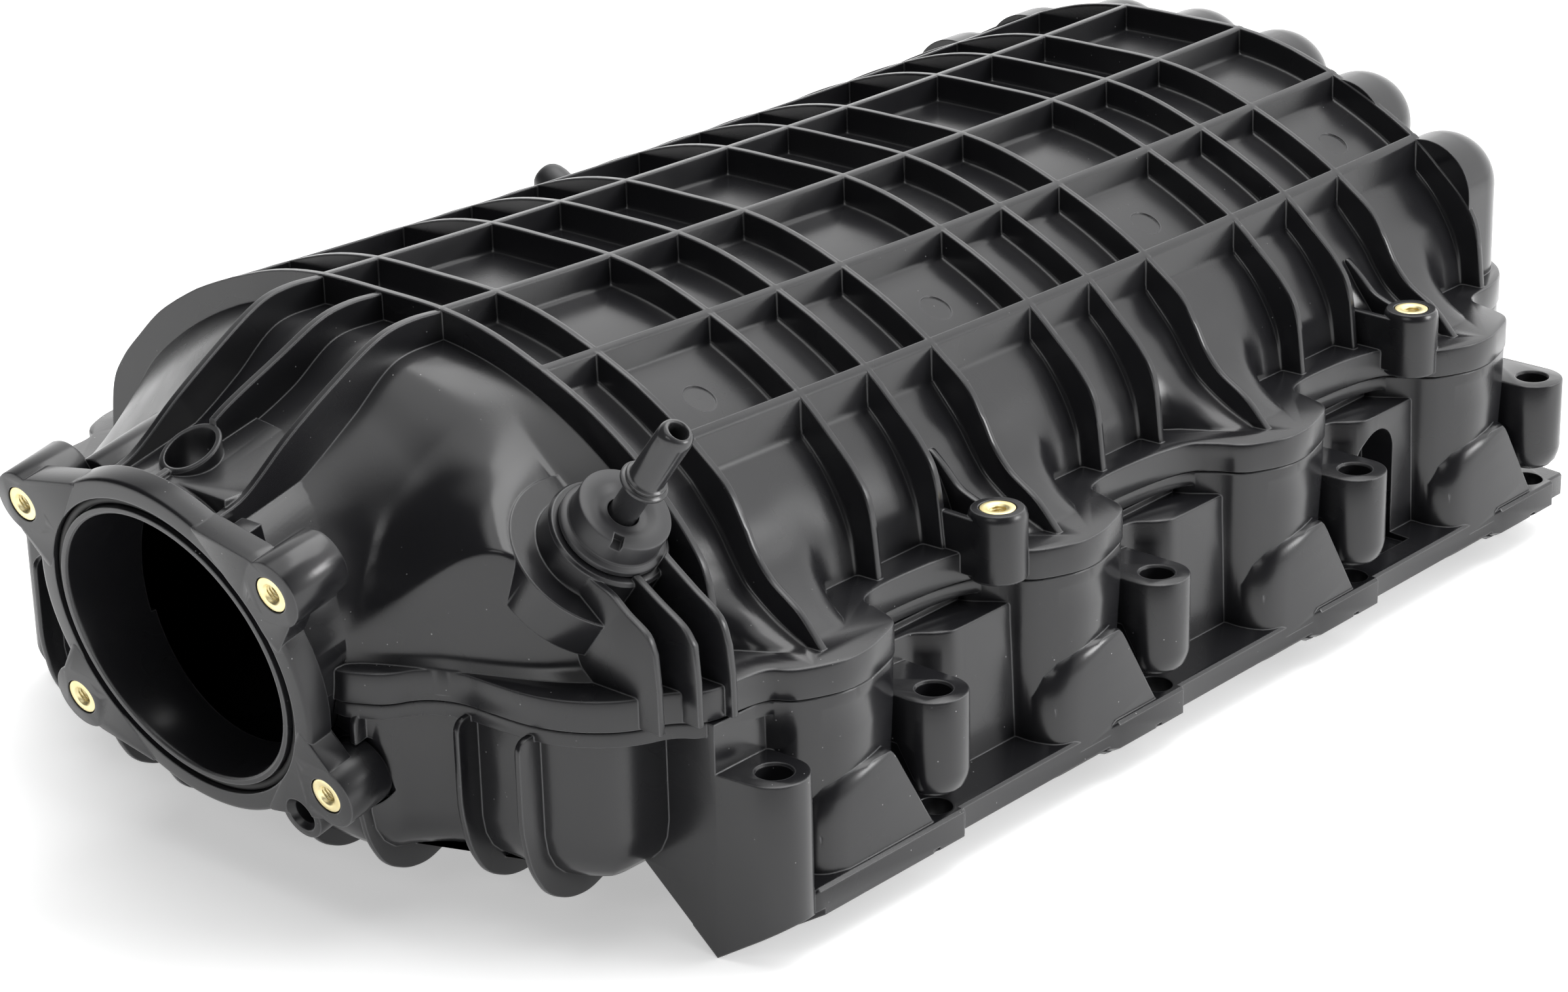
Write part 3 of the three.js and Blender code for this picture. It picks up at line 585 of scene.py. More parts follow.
def weld_outline(inset=0.0):
    right = list(FRONT_OUTLINE)
    for k in range(CYLINDERS):
        right += [(x, lobe_middle(k) + dy) for dy, x in (LOBE if k else LOBE[1:])]
    right += REAR_OUTLINE
    left = [(-x, y) for x, y in reversed(right)]
    return shrink(rounded(right + left, 3), inset)


def upper_flange():
    return prism("upper_flange", weld_outline(), WELD_Z, FLANGE_TOP, edge=0.9, edge_low=0.5)


# ---- Throttle end ----

BOLT_PLACES = [(u * THROTTLE_BOLT[0], v * THROTTLE_BOLT[1]) for v in (-1, 1) for u in (-1, 1)]


def throttle_body():
    ring = [
        (NECK_R - 6, -50), (NECK_R, -50), (NECK_R, -11.5), (NECK_R + 0.6, -9.8), (NECK_R + 1.8, -9),
        (FLANGE_R - 0.6, -9), (FLANGE_R, -8.4), (FLANGE_R, -1.4), (FLANGE_R - 0.35, -0.6),
        (FLANGE_R - 0.9, -0.15), (FLANGE_R - 1.6, 0), (NECK_R - 6, 0),
    ]
    solids = [lathe("throttle_ring", ring, THROTTLE, 192)]
    for u, v in BOLT_PLACES:
        side, up = math.copysign(1, u), math.copysign(1, v)
        quarter = [(51, 45.2), (25, 50.5), (40, 30), (50.5, 13), (60.5, 26.5), (62, 36)]
        web = filleted([(side * x, up * y) for x, y in quarter], 3)
        solids.append(prism("web", web, -9, 0.25, edge=0.4, matrix=THROTTLE))
        back = -21 if v > 0 else -17
        solids.append(rod("lobe", LOBE_BOSS_R, back, 0.25, on_throttle(u, v), 0.5, 1.5))
    solids.append(rod("ear", 8.2, -9, -0.2, on_throttle(*EAR_PLACE), 0.6, 0.6))
    solids.append(rod("stub", 8.6, -52, -20, on_throttle(-43, 34), 0.6, 2.5))
    tab = [(31, 34), (39, 34), (39, 46), (31, 46)]
    solids.append(prism("tab", tab, -15, -8, edge=0.5, matrix=THROTTLE))
    return solids


def throttle_cuts():
    bore = [
        (BORE_R - 1.5, -60), (BORE_R, -20), (BORE_R, -1.2), (BORE_R + 0.3, -0.5),
        (BORE_R + 0.8, -0.2), (BORE_R + 0.9, 2),
    ]
    groove = [(47.7, -3.6), (50.6, -3.6), (50.6, -0.3), (51.1, 2), (47.2, 2), (47.5, -0.4)]
    ear = [(4.1, -12), (4.1, -2), (5.6, -0.3), (6.4, 2)]
    cuts = [
        lathe("bore", bore, THROTTLE, 192),
        lathe("groove", groove, THROTTLE, 192, ring_shaped=True),
        lathe("ear_hole", ear, on_throttle(*EAR_PLACE)),
    ]
    return cuts + [insert_pocket(on_throttle(u, v)) for u, v in BOLT_PLACES]


def insert_pocket(matrix):
    return rod("pocket", INSERT_R + 0.3, -INSERT_LENGTH - 2, 1.5, matrix, segments=48)


# ---- Neck ribs and sensor ring ----

# Top edge of a neck rib, [y, z] from the throttle flange back to the first transverse rib.
NECK_CREST = [
    (-117.5, 134), (-106, 137.5), (-88, 149.8), (-69, 160), (-50, 168.4), (-37, 170.4), (-22, 169.6),
]
SENSOR_Y, SENSOR_OUTER, SENSOR_BORE, SENSOR_TOP = -101.8, 9.4, 7.7, 143.6
SENSOR_SLOPE = math.tan(math.radians(26))  # the ring's top leans with the crest of the rib


def neck_rib(front_x, rear_x, lift):
    """Tall thin plate that follows the crest and bends slightly across."""
    bend_x = 0.8 * front_x + 0.2 * rear_x
    places = spline([(-117.5, front_x), (-88, bend_x), (-50, rear_x), (-22, rear_x)], 10)
    rise = spline(NECK_CREST, 10)
    rings = []
    for y, x in places:
        top = np.interp(y, rise[:, 0], rise[:, 1]) + lift * bump(y + 118, 4, 60)
        sides = [
            (-1.7, top - 30), (-1.35, top - 0.5), (-1.05, top - 0.1), (0, top), (1.05, top - 0.1),
            (1.35, top - 0.5), (1.7, top - 30),
        ]
        rings.append([(x + d, y, z) for d, z in sides])
    return loft("neck_rib", rings)


def upright_ring(name, levels):
    """Upright cylinder on the sensor ring's middle through [radius, z, slope] levels."""
    turn = full_turn(72)
    rings = []
    for r, z, slope in levels:
        back = r * np.sin(turn)
        rings.append(np.column_stack([r * np.cos(turn), SENSOR_Y + back, z + slope * back]))
    return loft(name, rings)


def neck_parts():
    ribs = [neck_rib(0, 0, 4.5), neck_rib(27.6, 25.9, 0), neck_rib(-21, -25.9, 1)]
    ring = upright_ring("sensor_ring", (
        (SENSOR_OUTER, 128, 0),
        (SENSOR_OUTER, SENSOR_TOP - 0.4, SENSOR_SLOPE),
        (SENSOR_OUTER - 0.4, SENSOR_TOP, SENSOR_SLOPE),
    ))
    ledge = prism("ledge", [(-10, -113), (27, -113), (27, -91), (-10, -91)], 120, 137.5, edge=0.8)
    return ribs + [ring, ledge]


def over_ring():
    """What stands above the ring's leaning top, to be cut away."""
    r = SENSOR_OUTER - 0.2
    return upright_ring("over_ring", ((r, SENSOR_TOP, SENSOR_SLOPE), (r, 175, 0)))


# ---- Vacuum port ----


def vacuum_boss():
    """Flat land on the shoulder and the round boss that the cap sits in."""
    top = 0.45 - LAND_DEPTH
    land = [(LAND_R, -30), (LAND_R, top - 0.3), (LAND_R - 0.3, top), (1, top)]
    boss = [(20.6, -44), (19.4, top), (19.0, top + 1), (19.0, -7.4), (18.2, -6.4), (1, -6.4)]
    return [lathe("land", land, VACUUM_FRAME, 96), lathe("boss", boss, VACUUM_FRAME, 96)]


def vacuum_cap():
    profile = [
        (5.0, -9.5), (9.5, -9.5), (9.5, -6.1), (16.2, -6.1), (16.5, -5.7), (16.5, -4.2), (16.1, -3.8),
        (14.9, -3.5), (14.5, -3.0), (14.5, 3.9), (14.3, 4.3), (13.9, 4.5), (10.6, 4.5), (9.2, 4.2),
        (7.6, 3.2), (6.4, 2.8), (5.0, 2.8),
    ]
    cap = lathe("vacuum_port_cap_piece", profile, VACUUM_FRAME, 96, ring_shaped=True)
    turn = np.array(Matrix.Rotation(-0.9, 4, "Z"))
    notches = []
    for x0, x1 in ((10.4, 17), (-17, -10.4)):
        outline = [(x0, -1.6), (x1, -1.6), (x1, 1.6), (x0, 1.6)]
        notches.append(prism("notch", outline, 2.1, 7, matrix=VACUUM_FRAME @ turn))
    return combine(cap, notches, "DIFFERENCE")


def vacuum_nipple():
    """Straight tube with a double collar and a rounded end."""
    profile = [
        (2.9, -8), (3.9, -8), (4.4, -7.4), (4.4, 15.3), (4.9, 16.1), (6.9, 16.4), (7.4, 16.8),
        (7.4, 17.5), (6.9, 17.9), (5.9, 18.1), (6.4, 18.5), (6.5, 18.9), (6.3, 19.3), (5.6, 19.6),
        (5.4, 20.1), (5.4, 37.6), (5.3, 38.8), (5.0, 39.8), (4.5, 40.5), (3.9, 40.9), (3.4, 41),
        (3.1, 40.7), (2.9, 39.9),
    ]
    return lathe("vacuum_port_nipple_piece", profile, VACUUM_FRAME, 72, ring_shaped=True)


def side_tube():
    """Short tube on the left shoulder, with a collar and a rounded end."""
    profile = [
        (SIDE_BORE, -8), (SIDE_R, -8), (SIDE_R, 0.3), (SIDE_COLLAR, 0.3), (SIDE_COLLAR, 2.2),
        (SIDE_COLLAR - 0.5, 2.7), (SIDE_R + 0.5, 2.9), (SIDE_R, 3.6), (SIDE_R, 12.5),
        (SIDE_R - 0.3, 14.8), (SIDE_R - 1.0, 16.7), (SIDE_R - 1.8, 17.7), (SIDE_BORE + 0.2, 18),
        (SIDE_BORE, 17.7),
    ]
    return lathe("side_port_tube_piece", profile, SIDE_FRAME, 72, ring_shaped=True)


def shoulder_fins():
    """Three fins under the vacuum port, each with its place along Y and its top edge [x, z]."""
    tops = {
        -57: [
            (100, 128), (114.6, 122.8), (118.3, 118.7), (125.8, 115.6), (131.9, 111.2), (139.3, 106.6),
            (142, 100.9),
        ],
        -46: [(100, 128), (118.3, 122.1), (125.7, 116.9), (134.3, 111.5), (142.9, 106.4), (147, 101.4)],
        -35: [(100, 128), (119.6, 124.9), (127.1, 119.7), (136.9, 113.1), (146.8, 106.6), (150.2, 98.4)],
    }
    fins = []
    for y, top in tops.items():
        reach = top[-1][0]
        crest = [tuple(point) for point in spline(top, 4)]
        outline = [(88, WELD_Z + 1), (88, 112)] + crest
        outline += [(reach + 1, 90), (reach + 1.2, WELD_Z + 0.2)]
        fins.append(prism("fin", outline, y - 1.3, y + 1.3, "y", edge=0.6))
    return fins


# ---- Cover bosses ----


COVER_PLACES = [(side * COVER_X, y) for side in (1, -1) for y in COVER_Y]


def cover_boss(x, y):
    """Round boss, with a level wall at its front and a curved web behind it up to the roof."""
    side = math.copysign(1, x)
    boss = [
        (COVER_R - 0.4, 77.5), (COVER_R, 78), (COVER_R, 97.5), (COVER_R - 0.4, 99.2),
        (COVER_R - 1.1, COVER_TOP),
    ]
    curved = [(118, 80), (118, 112), (124, 107), (130, 101), (137, 98.4), (147, 97.6), (147, 80)]
    level = [(118, 79), (118, 98.4), (147, 97.8), (147, 79)]
    front = y - COVER_R
    return [
        lathe("cover_boss", boss, at(x, y, 0)),
        prism("cover_web", filleted(mirrored(curved, side), 2.5), y + 2.4, y + 5.2, "y", edge=0.6),
        prism("cover_wall", mirrored(level, side), front + 0.2, front + 3.2, "y", edge=0.6),
    ]


def cover_bosses():
    return [solid for x, y in COVER_PLACES for solid in cover_boss(x, y)]


def cover_pockets():
    return [insert_pocket(at(x, y, COVER_TOP)) for x, y in COVER_PLACES]


# ---- Rear ----

DOME_R = 18.8
DOMES = ((0, 164.0), (36.4, 162.0), (72.8, 152.5), (109.2, 136.5))  # middle and top of the rear columns


def rear_domes():
    """A row of columns with round tops behind the last rib."""
    solids = []
    back = REAR_WALL_Y - DOME_R
    turn = np.linspace(0, math.pi, 33)
    for x, top in DOMES:
        for place in sorted({x, -x}):
            levels = [(DOME_R, WELD_Z + 2)]
            for a in np.linspace(0, 0.49 * math.pi, 14):
                levels.append((DOME_R * math.cos(a), top - DOME_R * (1 - math.sin(a))))
            rings = []
            for r, z in levels:
                arc = [(place + r * math.cos(a), back + r * math.sin(a), z) for a in turn]
                rings.append([(place - r, REAR_Y - 1, z), (place + r, REAR_Y - 1, z)] + arc)
            solids.append(loft("dome", rings))
    return solids


def rear_hollow():
    return block("rear_hollow", -90, 90, REAR_Y - 20, REAR_WALL_Y - 21, WELD_Z - 1, 104)


# ---- Roof marks ----


def roof_marks():
    """Shallow round marks in the wide cells between the outer two long ribs."""
    curve = half_curve(SKIN)
    x = 0.5 * (LONG_RIBS[1] + LONG_RIBS[2])
    z = np.interp((x - 1, x, x + 1), curve[:, 0], curve[:, 1])
    slope = math.atan((z[0] - z[2]) / 2)
    marks = []
    for k in range(CYLINDERS):
        y = k * PITCH + 0.5 * WIDE_CELL
        height = raised(np.array([[x, z[1]]]), y)[0, 1]
        for side in (1, -1):
            frame_here = basis((math.cos(slope), 0, -side * math.sin(slope)), (0, 1, 0),
                               (side * math.sin(slope), 0, math.cos(slope)), (side * x, y, height))
            marks.append(rod("mark", 5.4, -0.5, 3, frame_here))
    return marks


# ---- Shell assemblies ----


def upper_cuts():
    cuts = [roof_hollow(), funnel("funnel_hollow", WALL, -88, FRONT_RIB_Y + 0.2), rear_hollow()]
    cuts += throttle_cuts() + cover_pockets() + roof_marks()
    cuts += [
        rod("side_bore", SIDE_R + 0.3, -40, 1, SIDE_FRAME),
        rod("side_room", SIDE_COLLAR + 0.3, 0, 24, SIDE_FRAME),
        rod("sensor_bore", SENSOR_BORE, 126, 175, at(0, SENSOR_Y, 0)),
        over_ring(),
        rod("cap_bore", 10, -50, 0, VACUUM_FRAME),
        rod("cap_seat", 16.8, -6.4, 22, VACUUM_FRAME, segments=96),
        block("under", -200, 200, -86, 450, WELD_Z - 90, WELD_Z),
    ]
    return cuts


def upper_shell():
    body = roof_body()
    solids = [funnel("funnel", 0, -107, FRONT_RIB_Y + 0.5), upper_flange()]
    solids += throttle_body() + neck_parts() + vacuum_boss()
    solids += shoulder_fins() + cover_bosses() + rear_domes()
    solids.append(rod("side_boss", SIDE_BOSS, -24, 0, SIDE_FRAME, 0.8))
    combine(body, solids, "UNION")
    combine(body, upper_cuts(), "DIFFERENCE")
    body.name = "upper_shell_moulding"
    return body


def port_z(x):
    """Height of the port face at this distance from the middle."""
    return (x - PORT_INNER_X) * math.tan(PORT_ANGLE)


def leg(side):
    """Web down to the port face, and the rail that starts behind the front boss."""
    web = [
        (BOWL_X - 20, BOWL_BOTTOM), (BOWL_X, BOWL_BOTTOM), (PORT_INNER_X, 0), (LEG_X, port_z(LEG_X)),
        (LEG_X, RAIL_TOP + 1), (VALLEY_X + 3.6, RAIL_TOP + 2.8), (VALLEY_X + 2.6, RAIL_TOP + 6),
        (VALLEY_X, WELD_Z - 6), (BOWL_X - 20, WELD_Z - 6),
    ]
    rail = [
        (PORT_INNER_X - 2, 0.5), (PORT_INNER_X, 0), (RAIL_X + 1, port_z(RAIL_X + 1)),
        (RAIL_X + 1, RAIL_TOP - 0.8), (RAIL_X + 0.2, RAIL_TOP), (PORT_INNER_X - 2, RAIL_TOP + 1.2),
    ]
    return [
        prism("web", mirrored(web, side), LEG_FRONT_Y, LEG_REAR_Y, "y", edge=0.4),
        prism("rail", mirrored(rail, side), BOLT_Y[0], LEG_REAR_Y, "y", edge=0.4),
    ]


def lobe_wall(side, k):
    outline = [(side * (x - 0.6), lobe_middle(k) + dy) for dy, x in LOBE]
    inner = side * (VALLEY_X - 6)
    outline += [(inner, lobe_middle(k) + 31), (inner, lobe_middle(k) - 33)]
    smooth = rounded(outline)
    levels = [(RAIL_TOP - 2.5, 2.2), (44, 1.1), (62, 0.2), (WELD_Z - 0.8, 0), (WELD_Z - WELD_CLEAR, 0.4)]
    return loft("lobe_wall", [on_axis(shrink(smooth, inset), z, "z") for z, inset in levels])


# Height, reach in X, front and rear ends of a port's hood.
HOOD = [
    (16.5, 167.2, -22, 32), (26, 166.7, -21.6, 26.6), (35, 166.2, -20.6, 21.7),
    (42, 165.8, -18.6, 17.8), (46, 165.5, -15.6, 15.7), (48.6, 165.2, -11.5, 14.2),
    (49.8, 164.7, -7.5, 13.2), (50.3, 163.6, -3.5, 12.2),
]


def hood(side, k):
    """D-shaped bulge over a port, leaning out to the rail, with a sharp rear edge."""
    rings = []
    for z, x, front, rear in HOOD:
        nose = [(x - 26, front), (x - 11, front), (x - 3.2, front + 3.6), (x, front + 12)]
        nose = filleted(nose, 5, 6)[6:-6]  # only the two bends between its ends
        corner = [(x, rear - 0.8), (x - 0.8, rear), (x - 26, rear)]
        outline = [(x - 26, front)] + [tuple(point) for point in nose] + [(x, front + 12)] + corner
        rings.append([(side * px, lobe_middle(k) + dy, z) for px, dy in outline])
    return loft("hood", rings)


def bolt_boss(side, y):
    """Round-ended boss with a rounded foot, over the rail."""
    x, inner = side * BOLT_X, side * INNER_X
    turn = np.linspace(0, math.pi, 33)[1:-1]
    arc = [(x + side * BOLT_R * math.sin(a), y - BOLT_R * math.cos(a)) for a in turn]
    outline = [(inner, y - BOLT_R), (x, y - BOLT_R)] + arc + [(x, y + BOLT_R), (inner, y + BOLT_R)]
    levels = [
        (BOLT_FOOT, 5), (BOLT_FOOT + 1, 3), (BOLT_FOOT + 3, 1.3), (BOLT_FOOT + 6, 0.3),
        (BOLT_FOOT + 8, 0), (BOLT_TOP - 0.6, 0), (BOLT_TOP - 0.2, 0.2), (BOLT_TOP, 0.6),
    ]
    return loft("bolt_boss", [on_axis(shrink(outline, inset), z, "z") for z, inset in levels])


def front_boss(side):
    """The first boss, which runs down to the port face."""
    x, y, inner = side * BOLT_X, BOLT_Y[0], side * 138
    turn = np.radians(np.linspace(-80, 90, 36))
    arc = [(x + side * BOLT_R * math.cos(a), y + BOLT_R * math.sin(a)) for a in turn]
    outline = [(inner, LEG_FRONT_Y), (side * LEG_X, LEG_FRONT_Y)] + arc + [(inner, y + BOLT_R)]
    return prism("front_boss", outline, 0, BOLT_TOP, edge=0.6, edge_low=0.0)


def front_shoulder(side):
    """Upright wall over the front bolt boss, from the leg's front up to the weld."""
    front, rear = LEG_FRONT_Y, LEG_FRONT_Y + 24
    outline = [(INNER_X, front), (LEG_X, front), (LEG_X, rear), (INNER_X, rear)]
    top = WELD_Z - WELD_CLEAR
    return prism("front_shoulder", mirrored(outline, side), RAIL_TOP - 2.5, top, edge=0.3, edge_low=0.0)


def valley_block(side, k):
    """Shelf under the flange between two lobes: an S-curve out to a flat face."""
    y = lobe_middle(k)
    curve = spline([
        (139.5, y + 30), (140.2, y + 44), (141.6, y + 51), (146.5, y + 55.5), (149.6, y + 60),
        (150.2, y + 66),
    ], 8)
    outline = [(side * INNER_X, y + 30)] + mirrored(curve, side)
    outline += [(side * 150.2, y + 95), (side * INNER_X, y + 95)]
    return prism("valley_block", outline, RAIL_TOP - 4, 68, edge=1.0, edge_low=0.0)


def arched_recess(side):
    """Arch cut in the shelf between the last two lobes."""
    y, r = lobe_middle(2) + 67, 9.5
    arch = [(y + r * math.cos(a), 53 + r * math.sin(a)) for a in np.linspace(0, math.pi, 25)]
    outline = [(y + r, 19)] + arch + [(y - r, 19)]
    x0, x1 = sorted((side * 137.5, side * 158))
    return prism("arched_recess", outline, x0, x1, "x")


def pad_span(k):
    y = lobe_middle(k)
    return (y - 25 if k == 0 else y + 8), y + 44


def rail_pad(side, k):
    """Thicker stretch of the rail, hanging a little lower, with chamfered ends."""
    y0, y1 = pad_span(k)
    x0, x1, x2 = 158, 167, 168.8
    full = [(x0, port_z(x0) - 2.2), (x2, port_z(x2) - 2.2), (x2, 19.6), (168, 20.6), (x0, 20.6)]
    small = [(x0, port_z(x0) - 0.8), (x1, port_z(x1) - 0.8), (x1, 18.4), (166.6, 19), (x0, 19)]
    stations = ((small, y0 - 3), (full, y0), (full, y1 - 2.5), (small, y1))
    return loft("rail_pad", [on_axis(mirrored(outline, side), y, "y") for outline, y in stations])


def pad_notch(side, k):
    y = lobe_middle(k)
    return block("pad_notch", side * 167.3, side * 170, y + 27, y + 30.2, 9.2, 12.4)


def bowl_ring(inset, z, limit):
    right = list(FRONT_OUTLINE) + [(VALLEY_X, 0)] + REAR_OUTLINE
    right = [(min(x, limit + inset), y) for x, y in right]
    outline = rounded(right + [(-x, y) for x, y in reversed(right)], 2)
    return on_axis(shrink(outline, inset), z, "z")


def bowl():
    levels = [
        (19, BOWL_BOTTOM), (14, BOWL_BOTTOM + 0.8), (10, BOWL_BOTTOM + 2.5), (6.5, BOWL_BOTTOM + 6),
        (4, BOWL_BOTTOM + 11), (3, BOWL_BOTTOM + 17), (3, WELD_Z - 2),
    ]
    return loft("bowl", [bowl_ring(inset, z, VALLEY_X - 3 - inset) for inset, z in levels])


def plenum():
    low = BOWL_BOTTOM + WALL
    levels = [(23, low), (13, low + 5), (7, BOWL_BOTTOM + 18), (7, WELD_Z + 1)]
    return loft("plenum", [bowl_ring(inset, z, 113 - inset) for inset, z in levels])


def bowl_fins():
    fins = []
    for x, front in ((31, -100), (57, -97.5), (84, -82), (108, -81)):
        outline = [
            (front, WELD_Z - 3), (front, 44), (front + 3, 30), (front + 9, 20), (front + 18, 15.6),
            (front + 26, 15), (front + 48, 23.5), (front + 48, WELD_Z - 3),
        ]
        for place in (x, -x):
            fins.append(prism("bowl_fin", filleted(outline, 5), place - 1.2, place + 1.2, "x", edge=0.6))
    return fins


def port_channel(side, k):
    middle = lobe_middle(k)
    upper = [(121, 36), (154.5, 36), (154.5, WELD_Z + 1), (121, WELD_Z + 1)]
    lower = [
        (121, 44), (121, 30), (PORT_IN_X, 4.5), (PORT_IN_X, -9), (PORT_OUT_X, -9),
        (PORT_OUT_X, 32), (155, 44),
    ]
    return [
        prism("channel", mirrored(upper, side), middle + PORT_FRONT + 1, middle + PORT_REAR - 5, "y"),
        prism("port", mirrored(lower, side), middle + PORT_FRONT, middle + PORT_REAR, "y"),
    ]


def seal_outlines(near, far):
    """Inner and outer loop of a seal, in the port face's own axes."""
    s0 = (PORT_IN_X - PORT_INNER_X) / math.cos(PORT_ANGLE)
    s1 = (PORT_OUT_X - PORT_INNER_X) / math.cos(PORT_ANGLE)
    loops = []
    for grow in (near, far):
        a, b = s0 - grow, s1 + grow
        front, rear = PORT_FRONT - grow, PORT_REAR + grow
        corners = [(a, front), (b, front), (b, rear), (a, rear)]
        loops.append(filleted(corners, 2 + grow, 8))
    return loops


def face_frame(side, k):
    slope = (side * math.cos(PORT_ANGLE), 0, math.sin(PORT_ANGLE))
    out = (side * math.sin(PORT_ANGLE), 0, -math.cos(PORT_ANGLE))
    return basis(slope, (0, 1, 0), out, (side * PORT_INNER_X, lobe_middle(k), 0))


def seal_loop(name, side, k, near, far, levels):
    """Band round a port between two loops. levels gives [side, height] round its cross-section."""
    inner, outer = seal_outlines(near, far)
    rings = []
    for share, height in levels:
        flat = inner + share * (outer - inner)
        rings.append(np.column_stack([flat, np.full(len(flat), height)]))
    return loft(name, rings, ring_shaped=True, matrix=face_frame(side, k))


def side_solids(side):
    solids = leg(side) + [front_shoulder(side)]
    for k in range(CYLINDERS):
        solids += [lobe_wall(side, k), hood(side, k), rail_pad(side, k)]
        if k + 1 < CYLINDERS:
            solids.append(valley_block(side, k))
    solids.append(front_boss(side))
    solids += [bolt_boss(side, y) for y in BOLT_Y[1:]]
    return solids


def side_cuts(side):
    groove = [(0, -2.5), (1, -2.5), (1, 2), (0, 2)]
    hole = [
        (BOLT_HOLE, -5), (BOLT_HOLE, BOLT_TOP - 0.7), (BOLT_HOLE + 0.5, BOLT_TOP - 0.1),
        (BOLT_HOLE + 0.6, BOLT_TOP + 2),
    ]
    below = [(PORT_INNER_X, 0), (200, port_z(200)), (200, -40), (BOWL_X, -40), (BOWL_X, BOWL_BOTTOM)]
    cuts = [arched_recess(side)]
    for k in range(CYLINDERS):
        cuts += port_channel(side, k)
        cuts.append(seal_loop("seal_groove", side, k, SEAL_NEAR, SEAL_FAR, groove))
        cuts.append(pad_notch(side, k))
    cuts += [lathe("bolt_hole", hole, at(side * BOLT_X, y, 0)) for y in BOLT_Y]
    cuts.append(prism("below", mirrored(below, side), LEG_FRONT_Y - 5, BOLT_Y[0] + BOLT_R + 1, "y"))
    return cuts


def lower_cuts():
    cuts = [
        plenum(),
        rod("neck_room", NECK_R + NECK_CLEAR, -58, -1, THROTTLE, segments=128),
        rod("flange_room", FLANGE_R + 2, -10, 40, THROTTLE, segments=128),
    ]
    for u, v in BOLT_PLACES:
        if v < 0:
            cuts.append(rod("lobe_room", LOBE_BOSS_R + 0.6, -18, 5, on_throttle(u, v)))
    return cuts + side_cuts(1) + side_cuts(-1)


def lower_shell():
    body = bowl()
    solids = [prism("lower_flange", weld_outline(0.6), WELD_Z - 5, WELD_Z - WELD_CLEAR, edge=0.4)]
    solids += bowl_fins() + side_solids(1) + side_solids(-1)
    combine(body, solids, "UNION")
    combine(body, lower_cuts(), "DIFFERENCE")
    body.name = "lower_shell_moulding"
    return body


# ---- Inserts, seals and sleeves ----


def threaded_insert(name, matrix):
    """Brass bush with a helical thread in its bore."""
    turn = full_turn(40)
    profile = [
        (INSERT_R - 0.5, -INSERT_LENGTH), (INSERT_R, -INSERT_LENGTH + 0.5), (INSERT_R, -0.35),
        (INSERT_R - 0.12, -0.1), (INSERT_R - 0.35, 0), (INSERT_BORE + 1.0, 0),
        (INSERT_BORE + 0.75, -0.15),
    ]
    rings = [circle(r, h, turn) for r, h in profile]
    for h in np.arange(-0.6, -INSERT_LENGTH + 0.4, -THREAD_PITCH / 6):
        phase = (h / THREAD_PITCH + turn / (2 * math.pi)) % 1
        r = INSERT_BORE + 0.55 * np.abs(2 * phase - 1)
        rings.append(circle(r, h, turn))
    rings.append(circle(INSERT_BORE + 0.6, -INSERT_LENGTH, turn))
    return loft(name, rings, ring_shaped=True, matrix=matrix)


def bolt_sleeve(name, side, y):
    """Steel bush at the foot of a bolt hole."""
    foot = port_z(BOLT_X + 5.2) + 0.5 if y == BOLT_Y[0] else BOLT_FOOT + 1
    profile = [
        (3.6, 0.3), (3.9, 0), (4.9, 0), (5.2, 0.3), (5.2, 15.7), (4.9, 16), (3.9, 16), (3.6, 15.7),
    ]
    return lathe(name, profile, at(side * BOLT_X, y, foot), 48, ring_shaped=True)


def throttle_seal():
    profile = [
        (48, -3.3), (50.3, -3.3), (50.3, -1.9), (49.9, -1.5), (49.15, -1.3), (48.4, -1.5), (48, -1.9),
    ]
    return lathe("throttle_seal_piece", profile, THROTTLE, 192, ring_shaped=True)


# ---- Materials ----


def new_material(name):
    material = bpy.data.materials.new(name)
    material.use_nodes = True
    nodes = material.node_tree.nodes
    return material, nodes, material.node_tree.links, nodes["Principled BSDF"]


def set_inputs(node, values):
    for socket, value in values.items():
        node.inputs[socket].default_value = value


def link_pair(nodes, links, kind, operation, first, second):
    """Node that works one value out of two."""
    node = nodes.new(kind)
    node.operation = operation
    links.new(first, node.inputs[0])
    links.new(second, node.inputs[1])
    return node


def link_noise(nodes, links, scale, detail=3.0):
    where = nodes.new("ShaderNodeTexCoord")
    noise = nodes.new("ShaderNodeTexNoise")
    set_inputs(noise, {"Scale": scale, "Detail": detail})
    links.new(where.outputs["Object"], noise.inputs["Vector"])
    return where, noise


def spread(nodes, links, source, low, high, to_low, to_high):
    """Maps a value range onto another."""
    node = nodes.new("ShaderNodeMapRange")
    set_inputs(node, {"From Min": low, "From Max": high, "To Min": to_low, "To Max": to_high})
    links.new(source, node.inputs["Value"])
    return node.outputs["Result"]


def mix_colours(nodes, links, factor, first, second):
    node = nodes.new("ShaderNodeMix")
    node.data_type = "RGBA"
    links.new(factor, node.inputs["Factor"])
    for socket, value in ((node.inputs["A"], first), (node.inputs["B"], second)):
        if isinstance(value, tuple):
            socket.default_value = value
        else:
            links.new(value, socket)
    return node.outputs["Result"]


def edge_wear_and_highlight(nodes, links, bevel):
    """1 along sharp edges, where the rounded normal leaves the surface's own: the mask of a painted
    highlight, with some wear, along the edges.
    """
    own = nodes.new("ShaderNodeNewGeometry")
    pair = bevel.outputs["Normal"], own.outputs["Normal"]
    dot = link_pair(nodes, links, "ShaderNodeVectorMath", "DOT_PRODUCT", *pair)
    return spread(nodes, links, dot.outputs["Value"], 0.99, 0.82, 0.0, 1.0)


